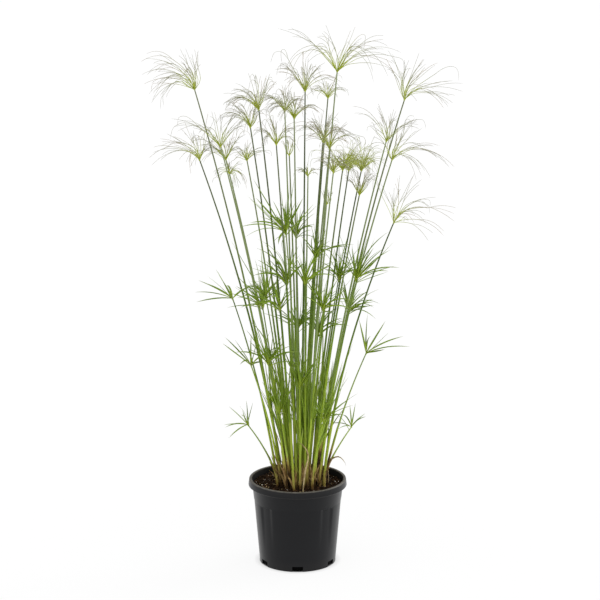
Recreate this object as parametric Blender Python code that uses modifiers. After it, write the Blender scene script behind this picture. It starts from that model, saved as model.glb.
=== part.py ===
"""Potted umbrella sedge: a nursery pot, its soil, and a clump of shoots that grow out of it.

Metres, +Z up. The origin is the middle of the pot's flat underside, and the front is -Y.
A shoot is one grown piece: a blunt three-cornered culm, the knob at its top, and the rays
or leaf blades that spread from the knob.
"""

import math
import random
from dataclasses import dataclass

import bmesh
import bpy
import numpy as np
from mathutils import Matrix, Vector
from mathutils.bvhtree import BVHTree

MM = 0.001
UP = Vector((0.0, 0.0, 1.0))
FLAT_ANGLE = math.radians(0.05)

# Pot, turned about its own axis
POT_HEIGHT = 0.166
LIP_TOP_RADIUS = 0.0933
LIP_RADIUS = 0.095
LIP_HEIGHT = 0.013
LIP_BEVEL = 0.0008
MOUTH_RADIUS = 0.0882
COLLAR_TOP_RADIUS = 0.087
COLLAR_FOOT_RADIUS = 0.0846
COLLAR_FOOT_Z = 0.127
BODY_TOP_RADIUS = 0.0838
BODY_TOP_Z = 0.1245
BASE_RADIUS = 0.0733
WALL = 0.0018
BODY_WALL = 0.0036
STEP_ABOVE = 0.002
STEP_BELOW = 0.004
FLOOR = 0.002
POT_STEPS = 44

# Shallow flutes that part the pot's body into wide panels
FLUTES = 4
COLUMNS_PER_FLUTE = POT_STEPS // FLUTES
FLUTE_DEPTH = 0.0014
FLUTE_TOP_Z = 0.1215
FLUTE_MIDDLE_Z = 0.080
FLUTE_FOOT_Z = 0.034
FLUTE_COLUMNS = 2
FLUTE_ANGLE = math.radians(43.0)

# Drainage notches in the bottom edge
NOTCHES = 6
NOTCH_WIDTH = 0.019
NOTCH_HEIGHT = 0.0105
NOTCH_INNER_RADIUS = 0.064
NOTCH_DEPTH = 0.020

# Soil
SOIL_Z = 0.154
SOIL_FALL = 0.0015
SOIL_FLAT_RADIUS = 0.064
SOIL_GAP = 0.0006
SOIL_STEPS = 30
SOCKET_DEPTH = 0.010
SOCKET_GAP = 0.0007
SOCKET_SIDES = 3

# Clump of feet in the soil
CLUMP_CENTRE = Vector((0.005, -0.004))
CLUMP_RADIUS = 0.048
FOOT_SPACING = 0.0098
SPREAD_ROUNDS = 400
HIGH_SPREAD = 0.20
LOW_SPREAD = 0.47
HIGH_HEAD_Z = 0.80
LOW_HEAD_Z = 0.28

# Culms
STRAIGHT_FOOT = 0.008
CONTROL_HEIGHT = 0.45
CULM_TAPER = 0.8
TOUCH_GAP = 0.0006
SETTLE_STEP = 0.003
SETTLE_STEPS = 7
SHOOT_TRIES = 24
SEED_STEP = 101

# Rays and blades
RAY_START = 0.0075
KNOB_CLEAR = 0.0095
RAY_RADIUS = 0.0010
BLADE_THICKNESS = 0.0016
BLADE_WIDEST = 0.32
BLADE_KEEL_SHARE = 0.6
ARCHED_LIFT = 0.012
ARCHED_RINGS = (0.34, 0.66)
STRAIGHT_RING = 0.52
FACE_PULL = 0.45
RAY_TRIES = 60
FIRST_TURN = 0.010
NEXT_TURN = 0.0012

# Rays that fill the gaps between the listed ones
CHOICES = 160
BEST_CHOICES = 3
SHORTEST_SHARE = 0.82
FILL_ARCH = 0.20
FAN_HEIGHT = 0.30
DEPTH_SHARE = 0.75
LEAST_DEPTH = 0.008


@dataclass(frozen=True)
class Finish:
    """What a material is called, its colour and how rough it is."""

    name: str
    colour: tuple
    roughness: float


POT_PLASTIC = Finish("pot_plastic", (0.020, 0.021, 0.022, 1.0), 0.42)
POTTING_MIX = Finish("potting_mix", (0.030, 0.018, 0.010, 1.0), 0.95)
CULM_GREEN = Finish("culm_green", (0.105, 0.165, 0.035, 1.0), 0.55)
LEAF_GREEN = Finish("leaf_green", (0.095, 0.230, 0.030, 1.0), 0.55)
DRY_LEAF = Finish("dry_leaf", (0.360, 0.250, 0.120, 1.0), 0.80)


@dataclass(frozen=True)
class Kind:
    """Sizes that all shoots of one kind share, and their finish."""

    prefix: str
    foot_radius: float
    top_radius: float
    knob_radius: float
    points: int
    finish: Finish


TALL = Kind("tall_shoot", 0.0034, 0.0018, 0.0040, 5, CULM_GREEN)
LEAFY = Kind("leafy_shoot", 0.0029, 0.0015, 0.0029, 4, LEAF_GREEN)


@dataclass(frozen=True)
class Shoot:
    """One shoot: where its knob is, how far its rays reach, and how it leans.

    rays holds the rays that show against the background, each as its tip beside and above
    the knob and the height of its arch, all in millimetres. More rays fill the gaps up to
    count: those look between lowest and highest degrees over the horizon, and no more than
    spread degrees away from the middle of the head's fan. lean is the part of the sideways
    travel that the culm's lower half makes.
    """

    head: tuple
    reach: float
    count: int
    rays: tuple = ()
    lean: float = 0.26
    lowest: float = 6.0
    highest: float = 76.0
    spread: float = 74.0
    width: float = 0.0


TALL_SHOOTS = (
    Shoot((-0.191, 0.010, 0.917), 0.100, 13, (
        (-93, 56, 12), (-69, 54, 5), (-99, 26, 16), (-93, 14, 8), (-73, 26, 4), (-77, -18, 18),
        (-58, -25, 16), (-14, 83, 0), (5, 66, 0), (-22, 62, -4))),
    Shoot((-0.184, 0.030, 0.781), 0.090, 11, (
        (-92, -12, 12), (-86, 18, 6), (-77, 36, 4), (-60, 56, 0), (-30, 66, 0), (-8, 62, 0),
        (-25, -16, 8), (30, 50, 0)), lean=0.20),
    Shoot((-0.141, -0.060, 0.821), 0.080, 9, (
        (-91, 51, 8), (8, 65, 0), (-18, 60, 6), (-50, 42, 4), (36, 46, 0)), lean=0.24),
    Shoot((-0.136, 0.070, 0.775), 0.060, 8, ((-48, 22, 4), (-30, 44, 0), (26, 40, 0))),
    Shoot((-0.128, 0.020, 0.758), 0.036, 7, ((-29, -9, 6), (29, -18, 8), (17, -31, 8))),
    Shoot((-0.097, 0.110, 0.767), 0.046, 7),
    Shoot((-0.087, -0.030, 0.852), 0.062, 9, ((-46, 40, 4), (-58, 18, 6), (10, 58, 0))),
    Shoot((-0.070, -0.100, 0.895), 0.066, 9, ((-44, 46, 4), (-62, 14, 8), (14, 60, 0))),
    Shoot((-0.038, -0.140, 0.838), 0.056, 8),
    Shoot((-0.024, 0.060, 0.869), 0.056, 8),
    Shoot((-0.006, -0.060, 0.873), 0.060, 9),
    Shoot((-0.016, 0.120, 0.775), 0.036, 5, lowest=62.0, highest=86.0),
    Shoot((0.014, 0.000, 0.915), 0.070, 9, ((-40, 52, 2), (6, 66, 0), (38, 50, 2))),
    Shoot((0.058, 0.130, 0.884), 0.046, 7),
    Shoot((0.073, -0.020, 0.954), 0.120, 14, (
        (-85, 77, 4), (-96, 10, 34), (-56, 14, 20), (-17, 75, -3), (35, 77, 0), (39, 64, 3),
        (89, 53, 10), (117, 36, 14), (89, 34, 6), (102, 21, 12), (70, -31, 36), (6, 52, 0)),
        highest=38.0),
    Shoot((0.020, 0.160, 0.728), 0.034, 6),
    Shoot((0.048, 0.070, 0.809), 0.066, 9),
    Shoot((0.059, -0.050, 0.816), 0.060, 9),
    Shoot((0.065, -0.120, 0.783), 0.048, 8),
    Shoot((0.083, -0.060, 0.778), 0.050, 9),
    Shoot((0.096, 0.020, 0.763), 0.050, 9),
    Shoot((0.113, -0.100, 0.739), 0.052, 7, ((-12, 48, 0), (16, 46, 0)), lowest=48.0),
    Shoot((0.122, 0.100, 0.749), 0.055, 9),
    Shoot((0.167, 0.050, 0.813), 0.076, 9, (
        (-15, 69, 0), (2, 56, 0), (-61, 53, 12), (57, 42, 4), (63, 27, 6), (-34, 40, 0))),
    Shoot((0.174, -0.050, 0.795), 0.100, 11, (
        (107, -16, 16), (74, 34, 4), (59, 51, 0), (57, -10, 8), (24, -10, 5), (15, 60, 0),
        (-30, 44, 0), (88, 14, 8))),
    Shoot((0.197, -0.020, 0.902), 0.100, 12, (
        (-21, 80, 0), (-3, 81, 0), (60, 59, 2), (88, 39, 4), (71, 24, 2), (93, 13, 0),
        (77, -24, 16), (16, 50, 0), (38, 70, 0)), lean=0.20),
    Shoot((0.178, -0.060, 0.679), 0.110, 10, (
        (-22, 61, 0), (-6, 61, 0), (9, 72, 0), (57, 11, 10), (113, 15, 8), (89, -13, 10),
        (31, -13, 5), (60, 40, 4)), lean=0.13),
    Shoot((0.055, 0.050, 0.693), 0.032, 5, lowest=62.0, highest=86.0),
)

LEAFY_SHOOTS = (
    Shoot((-0.123, 0.000, 0.521), 0.072, 8, (
        (-66, 34, 3), (-51, 38, 2), (-73, 8, 4), (-68, -1, 4), (-33, 49, 0), (-19, 49, 0),
        (32, 10, 3)), width=0.0050, lean=0.20),
    Shoot((-0.021, -0.090, 0.668), 0.070, 8, (
        (-56, 63, 0), (-24, 63, 0), (0, 54, 0), (31, 65, 0), (-67, 13, 8), (-14, -22, 4)),
        width=0.0060),
    Shoot((-0.003, 0.050, 0.634), 0.055, 6, ((2, 42, 0), (36, 26, 4)), width=0.0050),
    Shoot((-0.065, -0.080, 0.525), 0.062, 7, ((-50, 36, 3), (-40, 8, 4)), width=0.0056),
    Shoot((-0.061, 0.050, 0.513), 0.060, 7, ((-6, 58, 0), (-44, 30, 3)), width=0.0050),
    Shoot((-0.033, -0.100, 0.527), 0.060, 7, ((-48, 20, 3), (-12, 56, 0)), width=0.0055),
    Shoot((-0.020, -0.060, 0.566), 0.070, 7, ((-56, 40, 3), (-34, 52, 0), (10, 60, 0)),
          width=0.0054),
    Shoot((0.014, -0.090, 0.572), 0.070, 6, ((-40, 40, 2), (24, 54, 0), (50, 24, 4)),
          width=0.0054),
    Shoot((0.048, -0.090, 0.523), 0.065, 8, ((54, -10, 6), (40, 44, 0), (-34, 40, 2)),
          width=0.0056),
    Shoot((0.111, -0.050, 0.571), 0.072, 7, (
        (48, 37, 0), (80, 24, 8), (61, 6, 5), (-20, 69, 0), (-9, 48, 0), (16, 40, 0)),
        width=0.0056),
    Shoot((0.098, 0.040, 0.488), 0.060, 7, ((48, 8, 4), (40, 18, 2), (-8, 50, 0)), width=0.0050),
    Shoot((0.035, -0.020, 0.608), 0.055, 7, ((18, 46, 0), (60, 20, 6), (-30, 36, 2)),
          width=0.0052),
    Shoot((0.079, 0.060, 0.547), 0.058, 7, ((-10, 60, 0), (40, 34, 2)), width=0.0050),
    Shoot((-0.088, -0.020, 0.395), 0.066, 7, (
        (-50, 54, 0), (-54, 46, 0), (0, 56, 0), (12, 56, 0), (26, -6, 4)), width=0.0050,
        lean=0.22),
    Shoot((-0.095, -0.030, 0.281), 0.046, 8, (
        (-36, 34, 0), (-9, 37, 0), (-3, 44, 0), (-46, 2, 2), (-44, -10, 3), (-36, -20, 3),
        (10, 38, 0)), width=0.0038, lean=0.20),
    Shoot((0.131, 0.010, 0.411), 0.078, 7, (
        (3, 72, 0), (-15, 74, 0), (38, 55, 0), (33, 23, 0), (72, 32, 4), (84, 15, 6)),
        width=0.0050, lean=0.22),
    Shoot((0.104, 0.020, 0.262), 0.046, 7, (
        (8, 43, 0), (-4, 48, 0), (28, 18, 2), (-26, 6, 3), (-44, 0, 4)), width=0.0035, lean=0.30),
    Shoot((0.050, -0.080, 0.306), 0.055, 7, ((50, 40, 2), (36, 20, 3), (-24, 40, 0)),
          width=0.0045),
    Shoot((-0.055, -0.070, 0.412), 0.070, 7, (
        (-41, 64, 0), (-6, 58, 0), (30, 44, 0)), width=0.0058, lowest=20.0),
    Shoot((0.000, 0.090, 0.440), 0.065, 7, width=0.0056),
    Shoot((0.040, 0.078, 0.435), 0.065, 7, width=0.0056),
    Shoot((-0.034, -0.070, 0.315), 0.075, 5, width=0.0058, lowest=58.0, highest=84.0),
    Shoot((0.004, -0.075, 0.370), 0.075, 6, width=0.0064, lowest=58.0, highest=84.0),
)

# Dead basal leaves: foot in the soil, the points that each leaf passes, and its width
DRY_LEAF_WIDTH = 0.0034
DRY_LEAVES = (
    ((0.060, 0.006), ((0.064, 0.004, 0.200), (0.078, 0.000, 0.208), (0.094, -0.004, 0.190))),
    ((0.010, -0.060), ((0.014, -0.062, 0.196), (0.019, -0.064, 0.236), (-0.004, -0.066, 0.262))),
    ((-0.020, 0.052), ((-0.026, 0.056, 0.190), (-0.040, 0.064, 0.228), (-0.052, 0.072, 0.262))),
)


class Room:
    """The centrelines laid so far, so that a new one can be held clear of them."""

    def __init__(self):
        self.starts = []
        self.ends = []
        self.radii = []

    def add(self, points, radii):
        """Lay a centreline with a radius at each of its points."""
        for index in range(len(points) - 1):
            self.starts.append(tuple(points[index]))
            self.ends.append(tuple(points[index + 1]))
            self.radii.append(max(radii[index], radii[index + 1]))

    def cut_back(self, count):
        """Take up all stretches laid after the first count."""
        del self.starts[count:]
        del self.ends[count:]
        del self.radii[count:]

    def is_clear(self, points, radii, knob=None, knob_clear=0.0):
        """Tell whether a centreline keeps TOUCH_GAP to all others, apart from near its own knob."""
        if not self.starts:
            return True
        starts = np.array(self.starts)
        spans = np.array(self.ends) - starts
        lengths = np.maximum((spans ** 2).sum(axis=1), 1e-12)
        others = np.array(self.radii)
        samples, widths = sample_line(points, radii)
        if knob is not None:
            far = np.linalg.norm(samples - np.array(knob), axis=1) > knob_clear
            samples = samples[far]
            widths = widths[far]
        if len(samples) == 0:
            return True
        offsets = samples[:, None, :] - starts[None, :, :]
        along = np.clip((offsets * spans[None, :, :]).sum(axis=2) / lengths[None, :], 0.0, 1.0)
        gaps = np.linalg.norm(offsets - along[:, :, None] * spans[None, :, :], axis=2)
        return bool((gaps > others[None, :] + widths[:, None] + TOUCH_GAP).all())


def sample_line(points, radii, step=0.002):
    """Points every couple of millimetres along a centreline, and the radius at each."""
    samples = []
    widths = []
    for index in range(len(points) - 1):
        start = np.array(points[index])
        end = np.array(points[index + 1])
        count = max(2, int(np.linalg.norm(end - start) / step))
        for share in np.linspace(0.0, 1.0, count):
            samples.append(start + (end - start) * share)
            widths.append(radii[index] + (radii[index + 1] - radii[index]) * share)
    return np.array(samples), np.array(widths)


def clear_scene():
    """Remove the objects that the file starts with."""
    for obj in list(bpy.data.objects):
        bpy.data.objects.remove(obj, do_unlink=True)


def new_collection(name):
    """A collection linked to the scene."""
    collection = bpy.data.collections.new(name)
    bpy.context.scene.collection.children.link(collection)
    return collection


def new_material(finish):
    """A Principled material with a finish's colour and roughness."""
    material = bpy.data.materials.new(finish.name)
    material.use_nodes = True
    shader = material.node_tree.nodes["Principled BSDF"]
    shader.inputs["Base Color"].default_value = finish.colour
    shader.inputs["Roughness"].default_value = finish.roughness
    shader.inputs["Metallic"].default_value = 0.0
    material.diffuse_color = finish.colour
    return material


def add_object(name, mesh, collection, material=None):
    """An object for a mesh, in a collection and with a material."""
    obj = bpy.data.objects.new(name, mesh)
    collection.objects.link(obj)
    if material is not None:
        mesh.materials.append(material)
    return obj


def turned_mesh(name, profile, steps, collection):
    """Turn a profile of (radius, z) points round Z, with each flat end as one face."""
    outline = bpy.data.meshes.new(name + "_profile")
    points = [(radius, 0.0, z) for radius, z in profile]
    edges = [(index, index + 1) for index in range(len(points) - 1)]
    outline.from_pydata(points, edges, [])
    turned = add_object(name + "_profile", outline, collection)
    screw = turned.modifiers.new("turn", "SCREW")
    screw.steps = steps
    screw.render_steps = steps
    screw.use_merge_vertices = True
    screw.merge_threshold = 0.0001
    depsgraph = bpy.context.evaluated_depsgraph_get()
    mesh = bpy.data.meshes.new_from_object(turned.evaluated_get(depsgraph))
    mesh.name = name
    bpy.data.objects.remove(turned, do_unlink=True)
    ends = bmesh.new()
    ends.from_mesh(mesh)
    bmesh.ops.dissolve_limit(
        ends, angle_limit=FLAT_ANGLE, verts=ends.verts, edges=ends.edges)
    ends.to_mesh(mesh)
    ends.free()
    return mesh


def smooth_shading(mesh, angle=35.0):
    """Shade a mesh smooth, with its sharp edges kept."""
    mesh.shade_smooth()
    mesh.set_sharp_from_angle(angle=math.radians(angle))


def pot_profile():
    """The pot's section, from the middle of its floor over the lip to the middle of its base."""
    lip_foot_z = POT_HEIGHT - LIP_HEIGHT
    return (
        (0.0, FLOOR),
        (BASE_RADIUS - WALL, FLOOR),
        (BODY_TOP_RADIUS - BODY_WALL, COLLAR_FOOT_Z - STEP_BELOW),
        (COLLAR_FOOT_RADIUS - WALL, COLLAR_FOOT_Z + STEP_ABOVE),
        (MOUTH_RADIUS, POT_HEIGHT),
        (LIP_TOP_RADIUS - LIP_BEVEL, POT_HEIGHT),
        (LIP_TOP_RADIUS, POT_HEIGHT - LIP_BEVEL),
        (LIP_RADIUS, lip_foot_z),
        (COLLAR_TOP_RADIUS, lip_foot_z),
        (COLLAR_FOOT_RADIUS, COLLAR_FOOT_Z),
        (BODY_TOP_RADIUS, BODY_TOP_Z),
        (body_radius(FLUTE_TOP_Z), FLUTE_TOP_Z),
        (body_radius(FLUTE_MIDDLE_Z), FLUTE_MIDDLE_Z),
        (body_radius(FLUTE_FOOT_Z), FLUTE_FOOT_Z),
        (BASE_RADIUS, 0.0),
        (0.0, 0.0),
    )


def body_radius(z):
    """The outer radius of the pot's body between its flutes at a height."""
    return BASE_RADIUS + (BODY_TOP_RADIUS - BASE_RADIUS) * z / BODY_TOP_Z


def press_flutes(mesh):
    """Press the flutes into the outer wall, which fade out towards the foot of the pot."""
    pitch = math.tau / FLUTES
    for vertex in mesh.vertices:
        radius = math.hypot(vertex.co.x, vertex.co.y)
        on_wall = FLUTE_FOOT_Z + MM < vertex.co.z < FLUTE_TOP_Z + MM
        if not on_wall or radius < body_radius(vertex.co.z) - MM:
            continue
        turn = (math.atan2(vertex.co.y, vertex.co.x) / pitch) % 1.0
        column = round(turn * COLUMNS_PER_FLUTE) % COLUMNS_PER_FLUTE
        if column >= FLUTE_COLUMNS:
            continue
        fade = (vertex.co.z - FLUTE_FOOT_Z) / (FLUTE_TOP_Z - FLUTE_FOOT_Z)
        pressed = (radius - FLUTE_DEPTH * fade) / radius
        vertex.co.x *= pressed
        vertex.co.y *= pressed


def notch_cutter(cutters):
    """Six blocks on the bottom edge, joined in one cutter."""
    cutter = bmesh.new()
    reach = NOTCH_INNER_RADIUS + NOTCH_DEPTH / 2
    size = Matrix.Diagonal((NOTCH_WIDTH, NOTCH_DEPTH, 2 * NOTCH_HEIGHT, 1.0))
    for index in range(NOTCHES):
        turn = Matrix.Rotation(math.tau * index / NOTCHES, 4, "Z")
        place = Matrix.Translation((0.0, -reach, 0.0))
        bmesh.ops.create_cube(cutter, size=1.0, matrix=turn @ place @ size)
    mesh = bpy.data.meshes.new("notch_cutter")
    cutter.to_mesh(mesh)
    cutter.free()
    return hide_cutter(add_object("notch_cutter", mesh, cutters))


def hide_cutter(cutter):
    """Mark an object as a cutter."""
    cutter.hide_render = True
    cutter.display_type = "WIRE"
    return cutter


def cut(obj, cutter, name):
    """Cut one object out of another."""
    modifier = obj.modifiers.new(name, "BOOLEAN")
    modifier.operation = "DIFFERENCE"
    modifier.solver = "EXACT"
    modifier.object = cutter


def build_pot(parts, cutters):
    """The nursery pot."""
    mesh = turned_mesh("pot", pot_profile(), POT_STEPS, parts)
    press_flutes(mesh)
    mesh.transform(Matrix.Rotation(-math.pi / 2 + FLUTE_ANGLE - math.pi / POT_STEPS, 4, "Z"))
    smooth_shading(mesh)
    pot = add_object("pot", mesh, parts, new_material(POT_PLASTIC))
    cut(pot, notch_cutter(cutters), "drainage_notches")
    return pot


def soil_profile():
    """The soil's section, from the middle of its top to the middle of its underside."""
    inner = COLLAR_FOOT_RADIUS - WALL
    step_top = COLLAR_FOOT_Z + STEP_ABOVE
    rim = inner + (MOUTH_RADIUS - inner) * (SOIL_Z - step_top) / (POT_HEIGHT - step_top)
    waist = BODY_TOP_RADIUS - BODY_WALL - SOIL_GAP
    return (
        (0.0, SOIL_Z),
        (SOIL_FLAT_RADIUS, SOIL_Z),
        (rim - SOIL_GAP, SOIL_Z - SOIL_FALL),
        (inner - SOIL_GAP, step_top),
        (waist, COLLAR_FOOT_Z - STEP_BELOW),
        (BASE_RADIUS - WALL - SOIL_GAP, FLOOR + SOIL_GAP),
        (0.0, FLOOR + SOIL_GAP),
    )


def build_soil(feet, parts, cutters):
    """The body of potting mix, with a socket for each foot that stands in it."""
    mesh = turned_mesh("soil", soil_profile(), SOIL_STEPS, parts)
    smooth_shading(mesh)
    soil = add_object("soil", mesh, parts, new_material(POTTING_MIX))
    sockets = bmesh.new()
    for place, radius in feet:
        depth = 2 * SOCKET_DEPTH
        matrix = Matrix.Translation((place[0], place[1], SOIL_Z))
        bmesh.ops.create_cone(
            sockets, cap_ends=True, segments=SOCKET_SIDES, matrix=matrix, depth=depth,
            radius1=radius + SOCKET_GAP, radius2=radius + SOCKET_GAP)
    cutter_mesh = bpy.data.meshes.new("socket_cutter")
    sockets.to_mesh(cutter_mesh)
    sockets.free()
    cut(soil, hide_cutter(add_object("socket_cutter", cutter_mesh, cutters)), "sockets")
    return soil


def spread_feet(shoots, fixed):
    """Set each shoot's foot in the clump, under its head and apart from the others.

    A tall shoot's foot lies closer to the middle than a low one's, and feet that crowd
    each other are pushed apart inside the clump's edge. The fixed feet stay where they are.
    """
    feet = []
    for shoot in shoots:
        height = min(max(shoot.head[2], LOW_HEAD_Z), HIGH_HEAD_Z)
        low = (HIGH_HEAD_Z - height) / (HIGH_HEAD_Z - LOW_HEAD_Z)
        spread = HIGH_SPREAD + (LOW_SPREAD - HIGH_SPREAD) * low
        feet.append(CLUMP_CENTRE + Vector(shoot.head[:2]) * spread)
    for _ in range(SPREAD_ROUNDS):
        for first in range(len(feet)):
            for second in range(first):
                push = push_apart(feet[first], feet[second]) / 2
                feet[first] = feet[first] + push
                feet[second] = feet[second] - push
            for other in fixed:
                feet[first] = feet[first] + push_apart(feet[first], other)
        for index, foot in enumerate(feet):
            offset = foot - CLUMP_CENTRE
            if offset.length > CLUMP_RADIUS:
                feet[index] = CLUMP_CENTRE + offset.normalized() * CLUMP_RADIUS
    return feet


def push_apart(foot, other):
    """The move that brings a foot to its spacing from another."""
    apart = foot - other
    return apart.normalized() * max(FOOT_SPACING - apart.length, 0.0)


def culm_line(foot, head, lean, sway, count):
    """Points of a culm from the soil to its knob, as a curve that opens outwards."""
    start = Vector((foot.x, foot.y, SOIL_Z + STRAIGHT_FOOT))
    travel = head - start
    control = start + Vector((travel.x * lean, travel.y * lean, travel.z * CONTROL_HEIGHT)) + sway
    points = []
    for index in range(count):
        share = index / (count - 1)
        points.append(
            start * (1 - share) ** 2 + control * 2 * share * (1 - share) + head * share ** 2)
    return points


def culm_radii(kind, count):
    """The culm's radius at each point, thickest at the foot."""
    radii = []
    for index in range(count):
        share = index / (count - 1)
        taper = share ** CULM_TAPER
        radii.append(kind.foot_radius + (kind.top_radius - kind.foot_radius) * taper)
    return radii


def settle_culm(shoot, kind, foot, room):
    """Find the smallest shift that keeps a culm clear of those already laid, and lay it there."""
    steps = range(-SETTLE_STEPS, SETTLE_STEPS + 1)
    moves = [(deep, back, side) for deep in steps for back in steps for side in steps]
    moves.sort(key=lambda move: abs(move[0]) + abs(move[1]) + 2 * abs(move[2]))
    for deep, back, side in moves:
        head = Vector(shoot.head) + Vector((0.0, SETTLE_STEP * deep, 0.0))
        sway = Vector((side, back, 0.0)) * SETTLE_STEP
        line = culm_line(foot, head, shoot.lean, sway, kind.points)
        radii = culm_radii(kind, len(line))
        radii[-1] = kind.knob_radius
        if room.is_clear(line, radii):
            break
    room.add([Vector((foot.x, foot.y, SOIL_Z))] + line, [kind.foot_radius] + radii)
    return head, line


def fan_middle(shoot):
    """The direction that the middle of a head's fan of rays looks in."""
    if not shoot.rays:
        return Vector((shoot.head[0], shoot.head[1], FAN_HEIGHT)).normalized()
    across = sum(ray[0] for ray in shoot.rays) / len(shoot.rays)
    above = sum(ray[1] for ray in shoot.rays) / len(shoot.rays)
    return Vector((across, 0.0, abs(above))).normalized()


def ray_targets(shoot, seed):
    """Where a head's rays end, from its knob: the listed ones and those that fill the gaps.

    Args:
        shoot: the shoot whose head it is.
        seed: the number that its small irregularities start from.

    Returns:
        A list of (tip, arch height) pairs in metres.
    """
    rng = random.Random(seed)
    targets = []
    side = 1.0
    for across, above, arch in shoot.rays:
        seen = math.hypot(across, above) * MM
        depth = math.sqrt(max(shoot.reach ** 2 - seen ** 2, 0.0)) * DEPTH_SHARE + LEAST_DEPTH
        targets.append((Vector((across * MM, side * depth, above * MM)), arch * MM))
        side = -side
    golden = math.pi * (3.0 - math.sqrt(5.0))
    middle = fan_middle(shoot)
    low = math.sin(math.radians(shoot.lowest))
    high = math.sin(math.radians(shoot.highest))
    choices = []
    for index in range(CHOICES):
        rise = low + (high - low) * (index + 0.5) / CHOICES
        turn = index * golden
        flat = math.sqrt(1.0 - rise * rise)
        choice = Vector((flat * math.cos(turn), flat * math.sin(turn), rise))
        if choice.angle(middle) < math.radians(shoot.spread):
            choices.append(choice)
    while len(targets) < shoot.count:
        taken = [target.normalized() for target, _ in targets]
        if taken:
            choices.sort(key=lambda choice: max(choice.dot(other) for other in taken))
            direction = choices[rng.randrange(BEST_CHOICES)]
        else:
            direction = choices[rng.randrange(len(choices))]
        length = shoot.reach * rng.uniform(SHORTEST_SHARE, 1.0)
        arch = length * FILL_ARCH * (1.0 - max(direction.z, 0.0))
        targets.append((direction * length, arch))
    return targets


def ray_line(knob, start_direction, tip, arch, knob_radius, blade):
    """Points of a ray, from just outside the knob to its tip."""
    start = knob + start_direction * (knob_radius + RAY_START)
    middle = knob + tip * 0.5 + UP * arch * 2
    end = knob + tip
    rings = ARCHED_RINGS if abs(arch) >= ARCHED_LIFT else (STRAIGHT_RING,)
    if blade:
        rings = (BLADE_WIDEST,)
    points = [start]
    for share in (*rings, 1.0):
        points.append(start * (1 - share) ** 2 + middle * 2 * share * (1 - share) + end * share ** 2)
    return points


def ray_radii(shoot, count):
    """The radius that a ray or blade needs at each of its points."""
    full = shoot.width / 2 if shoot.width else RAY_RADIUS
    return [RAY_RADIUS] + [full] * (count - 2) + [0.0]


def pair_faces(faces, targets):
    """Give each ray a face of the knob, so that all rays together look the way of their faces.

    Args:
        faces: the knob's free faces.
        targets: the (tip, arch height) pairs of the rays.

    Returns:
        The index of a face for each ray, with no two alike.
    """
    wide = np.array([[face.normal.angle(tip + UP * arch * 2) ** 2 for face in faces]
                     for tip, arch in targets])
    order = list(range(len(faces)))
    swapped = True
    while swapped:
        swapped = False
        for ray in range(len(targets)):
            for other in range(ray + 1, len(faces)):
                before = wide[ray, order[ray]]
                after = wide[ray, order[other]]
                if other < len(targets):
                    before += wide[other, order[other]]
                    after += wide[other, order[ray]]
                if after < before - 1e-9:
                    order[ray], order[other] = order[other], order[ray]
                    swapped = True
    return order[:len(targets)]


def settle_ray(shoot, kind, knob, face, tip, arch, room, rng):
    """Turn a ray a little in depth until it is clear of the rest, and return its points."""
    for attempt in range(RAY_TRIES):
        turn = rng.uniform(-1.0, 1.0) * (FIRST_TURN + NEXT_TURN * attempt) if attempt else 0.0
        end = tip + Vector((0.0, turn, 0.0))
        direction = face.normal.lerp((end + UP * arch * 4).normalized(), 1.0 - FACE_PULL).normalized()
        line = ray_line(knob, direction, end, arch, kind.knob_radius, shoot.width > 0.0)
        radii = ray_radii(shoot, len(line))
        if room.is_clear(line, radii, knob, kind.knob_radius + KNOB_CLEAR):
            room.add(line, radii)
            return line, radii
    return None, None


def grow(mesh, face, centre, direction, radius):
    """Extrude a three-cornered face and set its far end round a new centre."""
    old_centre = face.calc_center_median()
    turn = face.normal.rotation_difference(direction)
    grown = bmesh.ops.extrude_discrete_faces(mesh, faces=[face])["faces"][0]
    for vertex in grown.verts:
        offset = turn @ (vertex.co - old_centre)
        offset -= direction * offset.dot(direction)
        vertex.co = centre + offset.normalized() * radius
    grown.normal_update()
    return grown


def flatten(face, centre, direction, width):
    """Give a face the section of a leaf blade: two edges and a keel below."""
    side = direction.cross(UP)
    if side.length < 0.05:
        side = Vector((1.0, 0.0, 0.0))
    side.normalize()
    above = side.cross(direction).normalized()
    corners = sorted(face.verts, key=lambda vertex: (vertex.co - centre).dot(above))
    keel = corners[0]
    edges = sorted(corners[1:], key=lambda vertex: (vertex.co - centre).dot(side))
    lift = above * BLADE_THICKNESS * (1.0 - BLADE_KEEL_SHARE)
    keel.co = centre - above * BLADE_THICKNESS * BLADE_KEEL_SHARE
    edges[0].co = centre - side * width / 2 + lift
    edges[1].co = centre + side * width / 2 + lift
    face.normal_update()


def grow_ray(mesh, face, line, radii, blade):
    """Grow a ray or a blade from a face of the knob to its tip."""
    for index in range(1 if blade else 0, len(line) - 1):
        direction = (line[index + 1] - line[max(index - 1, 0)]).normalized()
        face = grow(mesh, face, line[index], direction, radii[index])
        if blade:
            flatten(face, line[index], direction, 2 * radii[index])
    bmesh.ops.poke(mesh, faces=[face])["verts"][0].co = line[-1]


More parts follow.
